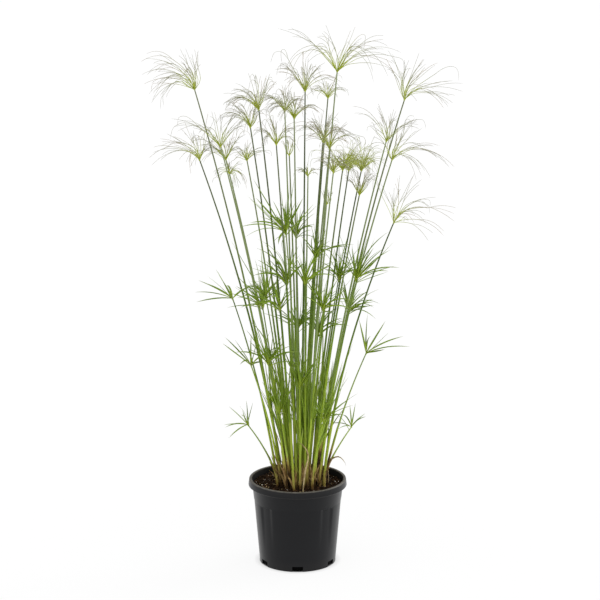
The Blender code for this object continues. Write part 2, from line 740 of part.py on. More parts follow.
def grow_shoot(shoot, kind, foot, settled, room, seed):
    """Grow a shoot: the knob, the culm down to its foot in the soil, and the rays.

    Args:
        shoot: the shoot's own sizes.
        kind: the sizes that its kind shares.
        foot: where its foot stands.
        settled: its knob's place and the points of its culm.
        room: the centrelines laid so far, to which its rays are added.
        seed: the number that its small irregularities start from.

    Returns:
        The mesh, and how many of its rays found room.
    """
    head, line = settled
    rng = random.Random(seed)
    grown_rays = 0
    mesh = bmesh.new()
    axis = (line[-1] - line[-2]).normalized()
    bmesh.ops.create_icosphere(mesh, subdivisions=1, radius=kind.knob_radius)
    mesh.faces.ensure_lookup_table()
    upright = mesh.faces[0].normal.rotation_difference(-axis).to_matrix().to_4x4()
    turn = Matrix.Rotation(rng.uniform(0.0, math.tau), 4, axis)
    bmesh.ops.transform(mesh, matrix=Matrix.Translation(head) @ turn @ upright, verts=mesh.verts)
    mesh.normal_update()
    under = mesh.faces[0]
    others = list(mesh.faces[1:])
    targets = ray_targets(shoot, seed)
    chosen = pair_faces(others, targets)
    for index, (tip, arch) in enumerate(targets):
        face = others[chosen[index]]
        points, radii = settle_ray(shoot, kind, head, face, tip, arch, room, rng)
        if points is not None:
            grow_ray(mesh, face, points, radii, shoot.width > 0.0)
            grown_rays += 1
    radii = culm_radii(kind, len(line))
    for index in range(len(line) - 2, -1, -1):
        direction = (line[max(index - 1, 0)] - line[index + 1]).normalized() if index else -UP
        under = grow(mesh, under, line[index], direction, radii[index])
    bottom = Vector((foot.x, foot.y, SOIL_Z - SOCKET_DEPTH + SOCKET_GAP))
    grow_foot(mesh, under, bottom, kind.foot_radius)
    bmesh.ops.triangulate(mesh, faces=mesh.faces)
    return mesh, grown_rays


def count_crossings(mesh):
    """How many pairs of a mesh's faces cross without sharing a corner."""
    mesh.verts.index_update()
    mesh.faces.ensure_lookup_table()
    tree = BVHTree.FromBMesh(mesh, epsilon=0.0)
    corners = [{vertex.index for vertex in face.verts} for face in mesh.faces]
    return sum(1 for one, other in tree.overlap(tree)
               if one < other and not corners[one] & corners[other])


def build_shoot(name, shoot, kind, foot, settled, room, seed, parts, material):
    """One shoot, from the first turn of its knob at which no ray crosses another."""
    laid = len(room.starts)
    faults = []
    for attempt in [*range(SHOOT_TRIES), None]:
        if attempt is None:
            attempt = faults.index(min(faults))
        room.cut_back(laid)
        mesh, rays = grow_shoot(shoot, kind, foot, settled, room, seed + SEED_STEP * attempt)
        faults.append(4 * count_crossings(mesh) + shoot.count - rays)
        if faults[-1] == 0 or len(faults) > SHOOT_TRIES:
            break
        mesh.free()
    data = bpy.data.meshes.new(name)
    mesh.to_mesh(data)
    mesh.free()
    return add_object(name, data, parts, material)


def grow_foot(mesh, face, bottom, radius):
    """Grow the straight foot that stands in its socket, turned as the socket is."""
    ring = sorted(face.verts, key=lambda vertex: socket_angle(vertex.co, bottom))
    for index, vertex in enumerate(ring):
        angle = math.pi / 2 - math.tau * index / SOCKET_SIDES
        vertex.co.x = bottom.x + radius * math.cos(angle)
        vertex.co.y = bottom.y + radius * math.sin(angle)
    face.normal_update()
    foot = bmesh.ops.extrude_discrete_faces(mesh, faces=[face])["faces"][0]
    for vertex in foot.verts:
        vertex.co.z = bottom.z


def socket_angle(point, centre):
    """How far round a point lies from a socket's corner at the back, clockwise from above."""
    corner = math.pi / 2 + math.pi / SOCKET_SIDES
    return (corner - math.atan2(point.y - centre.y, point.x - centre.x)) % math.tau


def build_dry_leaf(name, foot, points, parts, material):
    """A dead leaf: a foot in the soil and a narrow blade that bends over."""
    mesh = bmesh.new()
    radius = DRY_LEAF_WIDTH / 2
    bottom = SOIL_Z - SOCKET_DEPTH + SOCKET_GAP
    top = SOIL_Z + STRAIGHT_FOOT
    middle = Matrix.Translation((foot[0], foot[1], (bottom + top) / 2))
    bmesh.ops.create_cone(
        mesh, cap_ends=True, segments=SOCKET_SIDES, matrix=middle, depth=top - bottom,
        radius1=radius, radius2=radius)
    mesh.normal_update()
    face = max(mesh.faces, key=lambda item: item.calc_center_median().z)
    line = [Vector((foot[0], foot[1], top))] + [Vector(point) for point in points]
    for index in range(1, len(line) - 1):
        direction = (line[index + 1] - line[index - 1]).normalized()
        face = grow(mesh, face, line[index], direction, radius)
        flatten(face, line[index], direction, DRY_LEAF_WIDTH)
    bmesh.ops.poke(mesh, faces=[face])["verts"][0].co = line[-1]
    bmesh.ops.triangulate(mesh, faces=mesh.faces)
    data = bpy.data.meshes.new(name)
    mesh.to_mesh(data)
    mesh.free()
    return add_object(name, data, parts, material)


def main():
    """Build the pot, the shoots and the soil that holds them."""
    clear_scene()
    parts = new_collection("potted_umbrella_sedge")
    cutters = new_collection("cutters")
    build_pot(parts, cutters)
    grown = [(shoot, TALL) for shoot in TALL_SHOOTS] + [(shoot, LEAFY) for shoot in LEAFY_SHOOTS]
    dry_feet = [Vector(foot) for foot, _ in DRY_LEAVES]
    feet = spread_feet([shoot for shoot, _ in grown], dry_feet)
    room = Room()
    for foot, points in DRY_LEAVES:
        line = [Vector((foot[0], foot[1], SOIL_Z))] + [Vector(point) for point in points]
        room.add(line, [DRY_LEAF_WIDTH / 2] * len(line))
    settled = [settle_culm(shoot, kind, foot, room) for (shoot, kind), foot in zip(grown, feet)]
    materials = {kind: new_material(kind.finish) for kind in (TALL, LEAFY)}
    counts = {TALL: 0, LEAFY: 0}
    for index, (shoot, kind) in enumerate(grown):
        counts[kind] += 1
        name = f"{kind.prefix}_{counts[kind]:02d}"
        build_shoot(name, shoot, kind, feet[index], settled[index], room, index, parts,
                    materials[kind])
    straw = new_material(DRY_LEAF)
    for index, (foot, points) in enumerate(DRY_LEAVES):
        build_dry_leaf(f"dry_leaf_{index + 1:02d}", foot, points, parts, straw)
    sockets = [(foot, kind.foot_radius) for (_, kind), foot in zip(grown, feet)]
    sockets += [(foot, DRY_LEAF_WIDTH / 2) for foot, _ in DRY_LEAVES]
    build_soil(sockets, parts, cutters)


main()
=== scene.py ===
"""Potted umbrella sedge: the looks of its pot, its soil and every shoot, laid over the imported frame."""

import logging
import random
from collections.abc import Sequence
from dataclasses import dataclass, field
from enum import Enum
from math import atan2, cos, hypot, pi, radians, sin, sqrt, tau
from typing import Any, Optional, Union

import bmesh
import bpy
from bmesh.types import BMEdge, BMesh, BMFace, BMVert
from bpy.types import ColorRamp, Material, Node, NodeSocket, Object
from mathutils import Matrix, Quaternion, Vector, noise


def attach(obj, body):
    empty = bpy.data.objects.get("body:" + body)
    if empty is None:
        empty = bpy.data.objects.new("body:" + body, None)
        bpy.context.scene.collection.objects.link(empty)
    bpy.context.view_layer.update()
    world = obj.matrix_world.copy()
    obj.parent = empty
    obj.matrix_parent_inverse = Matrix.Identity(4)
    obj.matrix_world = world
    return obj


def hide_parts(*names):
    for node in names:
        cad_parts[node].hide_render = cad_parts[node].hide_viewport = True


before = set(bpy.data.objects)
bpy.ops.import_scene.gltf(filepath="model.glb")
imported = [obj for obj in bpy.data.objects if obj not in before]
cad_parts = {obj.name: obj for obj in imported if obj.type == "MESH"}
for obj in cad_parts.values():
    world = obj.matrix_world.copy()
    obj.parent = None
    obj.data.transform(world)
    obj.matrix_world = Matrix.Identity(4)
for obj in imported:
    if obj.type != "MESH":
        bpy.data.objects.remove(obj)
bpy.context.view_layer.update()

LOG = logging.getLogger("potted_umbrella_sedge")
MM = 0.001
UP = Vector((0.0, 0.0, 1.0))
MERGE = 1e-6
# A knob of the frame meets its culm in its lowest face: how wide that face is and how far below the
# knob's centre, both as shares of the knob's radius.
KNOB_FACE_RADIUS = 0.6071
KNOB_FACE_HEIGHT = 0.7947

Colour = tuple[float, float, float]
Pair = tuple[float, float]
Numbers = tuple[int, ...]
Number = Union["Signal", float]


class Signal:
    """A shader socket that takes part in arithmetic: each operator lays a Math node."""

    def __init__(self, board: "Board", socket: NodeSocket) -> None:
        """Keep the socket and the board that it belongs to."""
        self.board = board
        self.socket = socket

    def _math(self, operation: str, first: Number, second: Number, clamp: bool = False) -> "Signal":
        """The result of a Math node, held between 0 and 1 where that is asked."""
        settings = {"operation": operation, "use_clamp": clamp}
        return self.board.signal(0, "ShaderNodeMath", settings, {0: first, 1: second})

    def __add__(self, other: Number) -> "Signal":
        """Sum."""
        return self._math("ADD", self, other)

    def __sub__(self, other: Number) -> "Signal":
        """Difference."""
        return self._math("SUBTRACT", self, other)

    def __rsub__(self, other: Number) -> "Signal":
        """Difference with the number first."""
        return self._math("SUBTRACT", other, self)

    def __mul__(self, other: Number) -> "Signal":
        """Product."""
        return self._math("MULTIPLY", self, other)

    def __pow__(self, other: Number) -> "Signal":
        """Power."""
        return self._math("POWER", self, other)

    __radd__ = __add__
    __rmul__ = __mul__

    def clamped(self) -> "Signal":
        """The same value held between 0 and 1."""
        return self._math("ADD", self, 0.0, clamp=True)

    def above(self, limit: float, softness: float) -> "Signal":
        """How far the value is past a limit: 0 below it, 1 once it is past by the softness."""
        return ((self - limit) * (1.0 / softness)).clamped()


class Board:
    """The node tree of one material, and the few kinds of node that the finishes use."""

    def __init__(self, name: str) -> None:
        """Start a material with an empty tree.

        Args:
            name: the material's name.
        """
        self.material = bpy.data.materials.new(name)
        self.material.use_nodes = True
        self.tree = self.material.node_tree
        self.tree.nodes.clear()
        self.place = self.signal("Object", "ShaderNodeTexCoord", {}, {})

    def node(self, kind: str, settings: dict[str, Any], sockets: dict[Any, Any]) -> Node:
        """Lay a node.

        Args:
            kind: the node's type.
            settings: its settings, set first; stops are a ramp's positions and colours.
            sockets: values or signals for its inputs, by name or by number.

        Returns:
            The node.
        """
        node = self.tree.nodes.new(kind)
        for name, value in settings.items():
            if name == "stops":
                self._lay_stops(node.color_ramp, value)
            else:
                setattr(node, name, value)
        for name, value in sockets.items():
            socket = node.inputs[name]
            if isinstance(value, Signal):
                self.tree.links.new(value.socket, socket)
            elif socket.type == "RGBA":
                socket.default_value = (*value, 1.0)
            else:
                socket.default_value = value
        return node

    def signal(self, output: Union[int, str], kind: str, settings: dict[str, Any],
               sockets: dict[Any, Any]) -> Signal:
        """Lay a node and read one of its outputs."""
        return Signal(self, self.node(kind, settings, sockets).outputs[output])

    @staticmethod
    def _lay_stops(ramp: ColorRamp, stops: Sequence[tuple[float, Colour]]) -> None:
        """Give a ramp its stops.

        Args:
            ramp: the ramp, with its two first stops.
            stops: positions and colours, from left to right.
        """
        for _ in range(len(stops) - len(ramp.elements)):
            ramp.elements.new(0.5)
        for element, (position, colour) in zip(ramp.elements, stops):
            element.position = position
            element.color = (*colour, 1.0)

    def height(self) -> Signal:
        """Height over the ground in metres."""
        return self.signal(2, "ShaderNodeSeparateXYZ", {}, {0: self.place})

    def distance(self) -> Signal:
        """Distance from the object's origin in metres."""
        return self.signal("Value", "ShaderNodeVectorMath", {"operation": "LENGTH"}, {0: self.place})

    def attribute(self, name: str) -> Signal:
        """A number that the mesh carries at each point."""
        return self.signal("Fac", "ShaderNodeAttribute", {"attribute_name": name}, {})

    def noise(self, scale: float, detail: float = 3.0, stretch: Colour = (1.0, 1.0, 1.0)) -> Signal:
        """Noise through the object.

        Args:
            scale: waves in a metre.
            detail: octaves.
            stretch: how much each axis is squeezed before the noise is read.

        Returns:
            The noise, mostly between 0.3 and 0.7.
        """
        mapped = self.signal(0, "ShaderNodeMapping", {}, {"Vector": self.place, "Scale": stretch})
        sockets = {"Vector": mapped, "Scale": scale, "Detail": detail}
        return self.signal(0, "ShaderNodeTexNoise", {}, sockets)

    def blend(self, factor: Number, first: Any, second: Any, way: str = "MIX") -> Signal:
        """Two colours mixed, by how much of the second and by the Mix node's blend type."""
        settings = {"data_type": "RGBA", "blend_type": way}
        return self.signal(2, "ShaderNodeMix", settings, {0: factor, 6: first, 7: second})

    def ramp(self, factor: Number, *stops: tuple[float, Colour]) -> Signal:
        """A colour read off a ramp."""
        return self.signal(0, "ShaderNodeValToRGB", {"stops": stops}, {0: factor})

    def surface(self, colour: Any, roughness: Number, shine: float,
                relief: Optional[Signal] = None, depth: float = 0.0, **others: Any) -> None:
        """Finish the material.

        Args:
            colour: the base colour.
            roughness: the roughness.
            shine: the specular level.
            relief: the height of the fine relief, from 0 to 1.
            depth: how deep that relief is, in metres.
            others: values of other sockets of the shader, with _ for a space.
        """
        sockets = {"Base Color": colour, "Roughness": roughness, "Specular IOR Level": shine}
        if relief is not None:
            bump = {"Height": relief, "Distance": depth, "Strength": 1.0}
            sockets["Normal"] = self.signal(0, "ShaderNodeBump", {}, bump)
        sockets |= {name.replace("_", " "): value for name, value in others.items()}
        shader = self.signal(0, "ShaderNodeBsdfPrincipled", {}, sockets)
        self.node("ShaderNodeOutputMaterial", {}, {0: shader})


@dataclass(frozen=True)
class Finish:
    """A finish by its name: each kind lays its own nodes."""

    name: str

    def paint(self, board: Board) -> None:
        """Lay the nodes of the finish."""
        raise NotImplementedError


def materials(*finishes: Finish) -> list[Material]:
    """Make the materials of a few finishes.

    Args:
        finishes: the finishes, in the order of their numbers.

    Returns:
        Their materials.
    """
    boards = [Board(finish.name) for finish in finishes]
    for board, finish in zip(boards, finishes):
        finish.paint(board)
    return [board.material for board in boards]


@dataclass(frozen=True)
class PotPlastic(Finish):
    """Satin black moulded plastic with a fine grain, dry splashes, a little dust and painted highlights
    along the lip's top edge and foot.
    """

    name: str = "pot_plastic"
    black: Colour = (0.0034, 0.0036, 0.0045)
    grey: Colour = (0.0058, 0.0061, 0.0073)
    # The colour of the real dust, also used for the painted highlights on the lip.
    dust_and_highlight: Colour = (0.115, 0.105, 0.090)
    sheen: float = 0.25
    shine: float = 0.2
    dusty_foot: float = 0.022
    dusty_rim: float = 0.1535
    lip_foot: float = 0.1524
    lip_top: float = 0.1642

    def paint(self, board: Board) -> None:
        """Lay the nodes of the plastic.

        Args:
            board: the material's board.
        """
        height = board.height()
        cloud = board.noise(9.0, 4.0)
        grain = board.noise(1500.0, 2.0) * 0.7 + board.noise(320.0) * 0.3
        splashes = board.noise(70.0, 5.0, (1.0, 1.0, 0.45)).above(0.64, 0.10)
        foot = (1.0 - height.above(0.0, self.dusty_foot)) * board.noise(260.0)
        rim = height.above(self.dusty_rim, 10 * MM) * board.noise(420.0)
        # Painted highlights: light bands on the lip's rounded top edge and, weaker, along its foot.
        upper = height.above(self.lip_top, 1.2 * MM)
        below = 1.0 - height.above(self.lip_foot + MM, 0.6 * MM)
        lower = height.above(self.lip_foot, 0.6 * MM) * below
        painted_lip_highlight = (upper + lower * 0.35) * (0.15 + board.noise(160.0, 4.0))
        dusty_and_highlighted = splashes * 0.03 + (foot + rim) * 0.08 + painted_lip_highlight
        colour = board.blend(cloud, self.black, self.grey)
        # The dust colour paints both the real dust and the lip's painted highlights.
        colour = board.blend(dusty_and_highlighted.clamped(), colour, self.dust_and_highlight)
        roughness = (self.sheen + cloud * 0.10 + dusty_and_highlighted * 0.35).clamped()
        board.surface(colour, roughness, self.shine, grain, depth=0.03 * MM)


@dataclass(frozen=True)
class SoiledShadedPlastic(PotPlastic):
    """The same plastic inside the rim, dulled by the damp mix, and darker as painted shade inside the
    pot.
    """

    name: str = "soiled_shaded_pot_plastic"
    # Darker than the outer plastic: painted shade inside the pot.
    black: Colour = (0.0016, 0.0014, 0.0012)
    grey: Colour = (0.0045, 0.0038, 0.0030)
    sheen: float = 0.55
    shine: float = 0.05


@dataclass(frozen=True)
class PottingMix(Finish):
    """Dark damp peat with its lumps in several browns, and painted shade, near black, deep in the pot."""

    name: str = "potting_mix"
    # Not the mix's own colour: painted shade for the low parts of the bed.
    painted_shade: Colour = (0.0010, 0.0009, 0.0008)
    black: Colour = (0.0034, 0.0016, 0.0008)
    brown: Colour = (0.028, 0.0140, 0.0060)
    rust: Colour = (0.085, 0.043, 0.018)
    lit_from: float = 0.05

    def paint(self, board: Board) -> None:
        """Lay the nodes of the potting mix.

        Args:
            board: the material's board.
        """
        tone = board.attribute("tone")
        crumbs = board.noise(620.0, 5.0)
        patches = board.noise(85.0, 3.0)
        colour = board.blend((patches * 0.6 + crumbs * 0.6 - 0.1).clamped(), self.black, self.brown)
        colour = board.blend(tone.above(0.80, 0.15) * 0.7, colour, self.rust)
        # Painted shade: below lit_from the mix turns near black, where it lies in shadow deep in the pot.
        colour = board.blend(board.height().above(self.lit_from, 0.05), self.painted_shade, colour)
        board.surface(colour, roughness=0.93, shine=0.07, relief=crumbs, depth=0.9 * MM)


@dataclass(frozen=True)
class PerliteWhite(Finish):
    """Off-white porous specks, stained by the mix."""

    name: str = "perlite"
    white: Colour = (0.74, 0.71, 0.64)
    stain: Colour = (0.26, 0.20, 0.14)

    def paint(self, board: Board) -> None:
        """Lay the nodes of the perlite.

        Args:
            board: the material's board.
        """
        pores = board.noise(1400.0, 4.0)
        tone = board.attribute("tone")
        stained = (tone * 0.7 + pores.above(0.55, 0.2) * 0.4).clamped()
        colour = board.blend(stained, self.white, self.stain)
        board.surface(colour, roughness=0.9, shine=0.3, relief=pores, depth=0.3 * MM)


@dataclass(frozen=True)
class CulmSkin(Finish):
    """The living stem: pale at the foot, yellow-green over the pot and olive green above."""

    name: str = "culm_skin"
    foot: Colour = (0.340, 0.310, 0.060)
    low: Colour = (0.425, 0.560, 0.049)
    middle: Colour = (0.160, 0.254, 0.018)
    upper: Colour = (0.142, 0.172, 0.066)
    top: Colour = (0.162, 0.180, 0.102)
    bright: Colour = (0.300, 0.380, 0.160)
    streak_tint: Colour = (0.46, 0.54, 0.28)
    dark_tint: Colour = (0.36, 0.44, 0.30)
    start: float = 0.14
    reach: float = 0.9

    def paint(self, board: Board) -> None:
        """Lay the nodes of the stem's skin.

        Args:
            board: the material's board.
        """
        tone = board.attribute("tone")
        streaks = board.noise(900.0, 3.0, (1.0, 1.0, 0.02))
        patches = board.noise(26.0, 3.0, (1.0, 1.0, 0.35))
        height = board.height() + (patches - 0.5) * 0.10 + (tone - 0.5) * 0.12
        share = (height - self.start) * (1.0 / self.reach)
        colour = board.ramp(
            share.clamped(), (0.00, self.foot), (0.06, self.low), (0.18, self.low), (0.34, self.middle),
            (0.62, self.upper), (0.85, self.top))
        colour = board.blend(streaks.above(0.42, 0.32), colour, self.streak_tint, "MULTIPLY")
        colour = board.blend(tone.above(0.50, 0.4) * 0.42, colour, self.bright)
        colour = board.blend((0.5 - tone).above(0.0, 0.5) * 0.92, colour, self.dark_tint, "MULTIPLY")
        roughness = 0.46 + patches * 0.12
        board.surface(colour, roughness, shine=0.18, relief=streaks, depth=0.12 * MM)


@dataclass(frozen=True)
class YoungCulmSkin(CulmSkin):
    """A younger stem, greener towards its top."""

    name: str = "young_culm_skin"
    upper: Colour = (0.155, 0.218, 0.032)
    top: Colour = (0.160, 0.206, 0.048)


@dataclass(frozen=True)
class SheathSkin(Finish):
    """The papery sheaths round a stem's foot: brown at the soil, straw and green above."""

    name: str = "sheath_skin"
    soil: Colour = (0.050, 0.027, 0.008)
    brown: Colour = (0.150, 0.086, 0.020)
    straw: Colour = (0.400, 0.345, 0.078)
    green: Colour = (0.320, 0.410, 0.040)
    streak_tint: Colour = (0.50, 0.46, 0.34)
    start: float = 0.150
    reach: float = 0.11

    def paint(self, board: Board) -> None:
        """Lay the nodes of the sheath.

        Args:
            board: the material's board.
        """
        tone = board.attribute("tone")
        streaks = board.noise(1100.0, 3.0, (1.0, 1.0, 0.03))
        patches = board.noise(60.0, 4.0, (1.0, 1.0, 0.4))
        dark = (tone ** 3.0) * 0.075
        share = (board.height() - self.start + (patches - 0.5) * 0.05 - dark) * (1.0 / self.reach)
        colour = board.ramp(
            share.clamped(), (0.00, self.soil), (0.09, self.brown), (0.23, self.straw),
            (0.45, self.green))
        colour = board.blend((streaks - 0.3).clamped() * 0.8, colour, self.streak_tint, "MULTIPLY")
        board.surface(colour, roughness=0.6, shine=0.2, relief=streaks, depth=0.2 * MM)


@dataclass(frozen=True)
class ThreadSkin(Finish):
    """The fine rays of an umbel: fresh yellow-green at the hub, greyer towards their tips."""

    name: str = "thread_skin"
    hub: Colour = (0.385, 0.450, 0.048)
    middle: Colour = (0.275, 0.284, 0.146)
    tip: Colour = (0.290, 0.274, 0.236)
    blush: Colour = (0.330, 0.230, 0.130)
    mottle_tint: Colour = (0.6, 0.6, 0.5)

    def paint(self, board: Board) -> None:
        """Lay the nodes of the threads.

        Args:
            board: the material's board.
        """
        along = board.attribute("along")
        tone = board.attribute("tone")
        colour = board.ramp(
            along, (0.0, self.hub), (0.20, self.hub), (0.50, self.middle), (1.0, self.tip))
        colour = board.blend(tone.above(0.72, 0.25) * along * 0.8, colour, self.blush)
        mottle = (board.noise(240.0) - 0.4).clamped() * 0.8
        colour = board.blend(mottle, colour, self.mottle_tint, "MULTIPLY")
        board.surface(colour, roughness=0.6, shine=0.12)


@dataclass(frozen=True)
class BladeSkin(Finish):
    """A leaf-like bract: green with fine veins, a paler midrib and a drier point."""

    name: str = "blade_skin"
    hub: Colour = (0.310, 0.410, 0.028)
    green: Colour = (0.240, 0.360, 0.028)
    deep: Colour = (0.115, 0.200, 0.012)
    tip: Colour = (0.260, 0.275, 0.120)
    rib: Colour = (0.270, 0.360, 0.060)

    def paint(self, board: Board) -> None:
        """Lay the nodes of the blade.

        Args:
            board: the material's board.
        """
        along = board.attribute("along")
        across = board.attribute("across")
        tone = board.attribute("tone")
        patches = board.noise(70.0, 3.0)
        green = board.blend((tone * 0.7 + patches * 0.5 - 0.1).clamped(), self.deep, self.green)
        colour = board.blend(1.0 - along.above(0.04, 0.34), green, self.hub)
        colour = board.blend(along.above(0.72, 0.28) * 0.8, colour, self.tip)
        colour = board.blend((1.0 - across.above(0.0, 0.35)) * 0.35, colour, self.rib)
        veins = board.noise(1300.0, 2.0)
        roughness = 0.52 + patches * 0.1
        board.surface(colour, roughness, shine=0.15, relief=veins, depth=0.08 * MM)


@dataclass(frozen=True)
class LeafSkin(BladeSkin):
    """A young leaf low on the plant, a fresher and lighter green than the bracts."""

    name: str = "leaf_skin"
    hub: Colour = (0.350, 0.420, 0.044)
    green: Colour = (0.375, 0.505, 0.054)
    deep: Colour = (0.135, 0.235, 0.014)


@dataclass(frozen=True)
class StrawSkin(Finish):
    """Anything dead on the plant or the mix: dry, pale to brown and patchy."""

    pale: Colour = (0.560, 0.450, 0.230)
    brown: Colour = (0.240, 0.155, 0.075)

    def paint(self, board: Board) -> None:
        """Lay the nodes of the straw.

        Args:
            board: the material's board.
        """
        patches = board.noise(150.0, 4.0)
        along = board.attribute("along")
        browned = (patches.above(0.40, 0.25) * 0.7 + along * 0.3).clamped()
        colour = board.blend(browned, self.pale, self.brown)
        fibres = board.noise(1500.0)
        board.surface(colour, roughness=0.8, shine=0.25, relief=fibres, depth=0.15 * MM)


@dataclass(frozen=True)
class ScaleSkin(StrawSkin):
    """The dry scales round a shoot's foot, browner than straw."""

    name: str = "scale_skin"
    pale: Colour = (0.440, 0.300, 0.115)
    brown: Colour = (0.160, 0.080, 0.024)


@dataclass(frozen=True)
class StudioWhite(Finish):
    """The plain pale floor, lit from below as a light table is, with a painted contact shadow round the
    pot.
    """

    name: str = "studio_white"
    white: Colour = (0.075, 0.075, 0.075)
    grey: Colour = (0.072, 0.072, 0.072)
    glow: float = 0.880
    covered: float = 0.0712
    edge: float = 3.5 * MM
    shadow_fringe_start: float = 3 * MM
    shadow_fringe: float = 11 * MM
    shadow_fringe_share: float = 0.20

    def paint(self, board: Board) -> None:
        """Lay the nodes of the floor, which is unlit where the pot covers it, with a painted contact
        shadow fading out round the pot's foot.

        Args:
            board: the material's board.
        """
        grain = board.noise(2.0, 2.0)
        colour = board.blend(grain * 0.2, self.white, self.grey)
        # Painted contact shadow: the glow dies out under the pot and comes back over a narrow edge and a
        # wider, fainter fringe round its foot.
        away = board.distance()
        near = away.above(self.covered, self.edge) * (1.0 - self.shadow_fringe_share)
        far = away.above(self.covered + self.shadow_fringe_start, self.shadow_fringe) * self.shadow_fringe_share
        glow = board.blend(near + far, (0.0, 0.0, 0.0), (1.0, 1.0, 1.0))
        board.surface(colour, roughness=0.9, shine=0.1, Emission_Color=glow,
                      Emission_Strength=self.glow)


def read_solid(node: str) -> tuple[BMesh, list[BMVert]]:
    """A copy of a node's mesh, and the three corners of its foot.

    Args:
        node: the node.

    Returns:
        The mesh and the foot's corners.
    """
    mesh = bmesh.new()
    mesh.from_mesh(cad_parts[node].data)
    bmesh.ops.remove_doubles(mesh, verts=mesh.verts, dist=MERGE)
    return mesh, sorted(mesh.verts, key=lambda vert: vert.co.z)[:3]


def any_offset(rng: random.Random) -> Vector:
    """A vector with each of its measures between -1 and 1."""
    return Vector([rng.uniform(-1.0, 1.0) for _ in range(3)])


def any_side(rng: random.Random) -> Vector:
    """A level direction."""
    turn = rng.uniform(0.0, tau)
    return Vector((cos(turn), sin(turn), 0.0))


def bowed(points: Sequence[Vector], bow: Vector) -> list[Vector]:
    """A line's points, moved by the bow in its middle and less towards its ends, which stay."""
    last = len(points) - 1
    return [point + bow * sin(pi * index / last) for index, point in enumerate(points)]


class Course:
    """A smooth line through a few points, read by its share of their length."""

    # How far before and after a place its heading is taken, as a share of the length.
    SIGHT = 0.02

    def __init__(self, points: Sequence[Vector]) -> None:
        """Measure the line and find its slope at each point.

        Args:
            points: the points, from its start to its end.
        """
        self.points = [Vector(point) for point in points]
        self.knots = [0.0]
        for before, after in zip(self.points, self.points[1:]):
            self.knots.append(self.knots[-1] + max((after - before).length, MERGE))
        self.length = self.knots[-1]
        self.slopes = self._find_slopes()

    def _find_slopes(self) -> list[Vector]:
        """The slope at each point, from its neighbours.

        Returns:
            The slopes, in the order of the points.
        """
        spans = [(self.points[i + 1] - self.points[i]) / (self.knots[i + 1] - self.knots[i])
                 for i in range(len(self.points) - 1)]
        if len(spans) == 1:
            return [spans[0], spans[0]]
        slopes = []
        for index in range(1, len(spans)):
            before = self.knots[index] - self.knots[index - 1]
            after = self.knots[index + 1] - self.knots[index]
            slopes.append((spans[index] * before + spans[index - 1] * after) / (before + after))
        return [spans[0] * 2.0 - slopes[0], *slopes, spans[-1] * 2.0 - slopes[-1]]

    def at(self, share: float) -> Vector:
        """The point at a share of the length.

        Args:
            share: 0 at the start and 1 at the end.

        Returns:
            The point.
        """
        reach = min(max(share, 0.0), 1.0) * self.length
        index = 0
        while index < len(self.knots) - 2 and reach > self.knots[index + 1]:
            index += 1
        span = self.knots[index + 1] - self.knots[index]
        t = (reach - self.knots[index]) / span
        rise = self.slopes[index] * span
        fall = self.slopes[index + 1] * span
        return (self.points[index] * (2 * t ** 3 - 3 * t ** 2 + 1) + rise * (t ** 3 - 2 * t ** 2 + t)
                + self.points[index + 1] * (3 * t ** 2 - 2 * t ** 3) + fall * (t ** 3 - t ** 2))

    def heading(self, share: float) -> Vector:
        """The direction of the line at a share of its length."""
        return (self.at(share + self.SIGHT) - self.at(share - self.SIGHT)).normalized()


@dataclass
class Ray:
    """One ray of the frame: its points from the hub to its tip, and its width at its widest."""

    points: list[Vector]
    width: float


@dataclass
class Skeleton:
    """The lines of a shoot of the frame: its culm from foot to hub, and its rays."""

    culm: list[Vector]
    radii: list[float]
    hub: Vector
    hub_radius: float
    rays: list[Ray]

    @classmethod
    def of(cls, node: str) -> "Skeleton":
        """Read the lines of a node.

        Args:
            node: the shoot's node.

        Returns:
            Its skeleton.
        """
        mesh, foot = read_solid(node)
        rings = cls.climb(foot, set())
        centres = [cls.middle(ring) for ring in rings]
        radii = [cls.spread(ring) for ring in rings]
        hub_radius = radii[-1] / KNOB_FACE_RADIUS
        under = rings[-1]
        axis = (under[1].co - under[0].co).cross(under[2].co - under[0].co).normalized()
        if axis.dot(centres[-1] - centres[-2]) < 0.0:
            axis = -axis
        hub = centres[-1] + axis * hub_radius * KNOB_FACE_HEIGHT
        rays = []
        for tip in mesh.verts:
            if len(tip.link_edges) != 3 or tip in foot:
                continue
            back = cls.climb([edge.other_vert(tip) for edge in tip.link_edges], {tip})
            inner = [cls.middle(ring) for ring in reversed(back[:-1])]
            width = max((one.co - two.co).length for one in back[0] for two in back[0])
            rays.append(Ray([hub, *inner, tip.co.copy()], width))
        mesh.free()
        return cls(centres[:-1] + [hub], radii[:-1], hub, hub_radius, rays)

    @staticmethod
    def climb(ring: Sequence[BMVert], seen: set[BMVert]) -> list[list[BMVert]]:
        """Walk from ring to ring of three corners until the tube opens into something wider.

        Args:
            ring: the first ring.
            seen: corners that the walk doesn't enter.

        Returns:
            The rings, the first one included.
        """
        rings = [list(ring)]
        passed = seen | set(ring)
        while True:
            further = {edge.other_vert(vert) for vert in rings[-1] for edge in vert.link_edges} - passed
            if len(further) != 3:
                return rings
            passed |= further
            rings.append(list(further))

    @staticmethod
    def middle(ring: Sequence[BMVert]) -> Vector:
        """The centre of a few corners."""
        return sum((vert.co for vert in ring), Vector()) / len(ring)

    @staticmethod
    def spread(ring: Sequence[BMVert]) -> float:
        """The mean distance of a ring's corners from its centre."""
        centre = Skeleton.middle(ring)
        return sum((vert.co - centre).length for vert in ring) / len(ring)


class Part(Enum):
    """The parts of a shoot, numbered as its materials are."""

    CULM = 0
    SHEATH = 1
    HEAD = 2
    LEAF = 3
    SCALE = 4


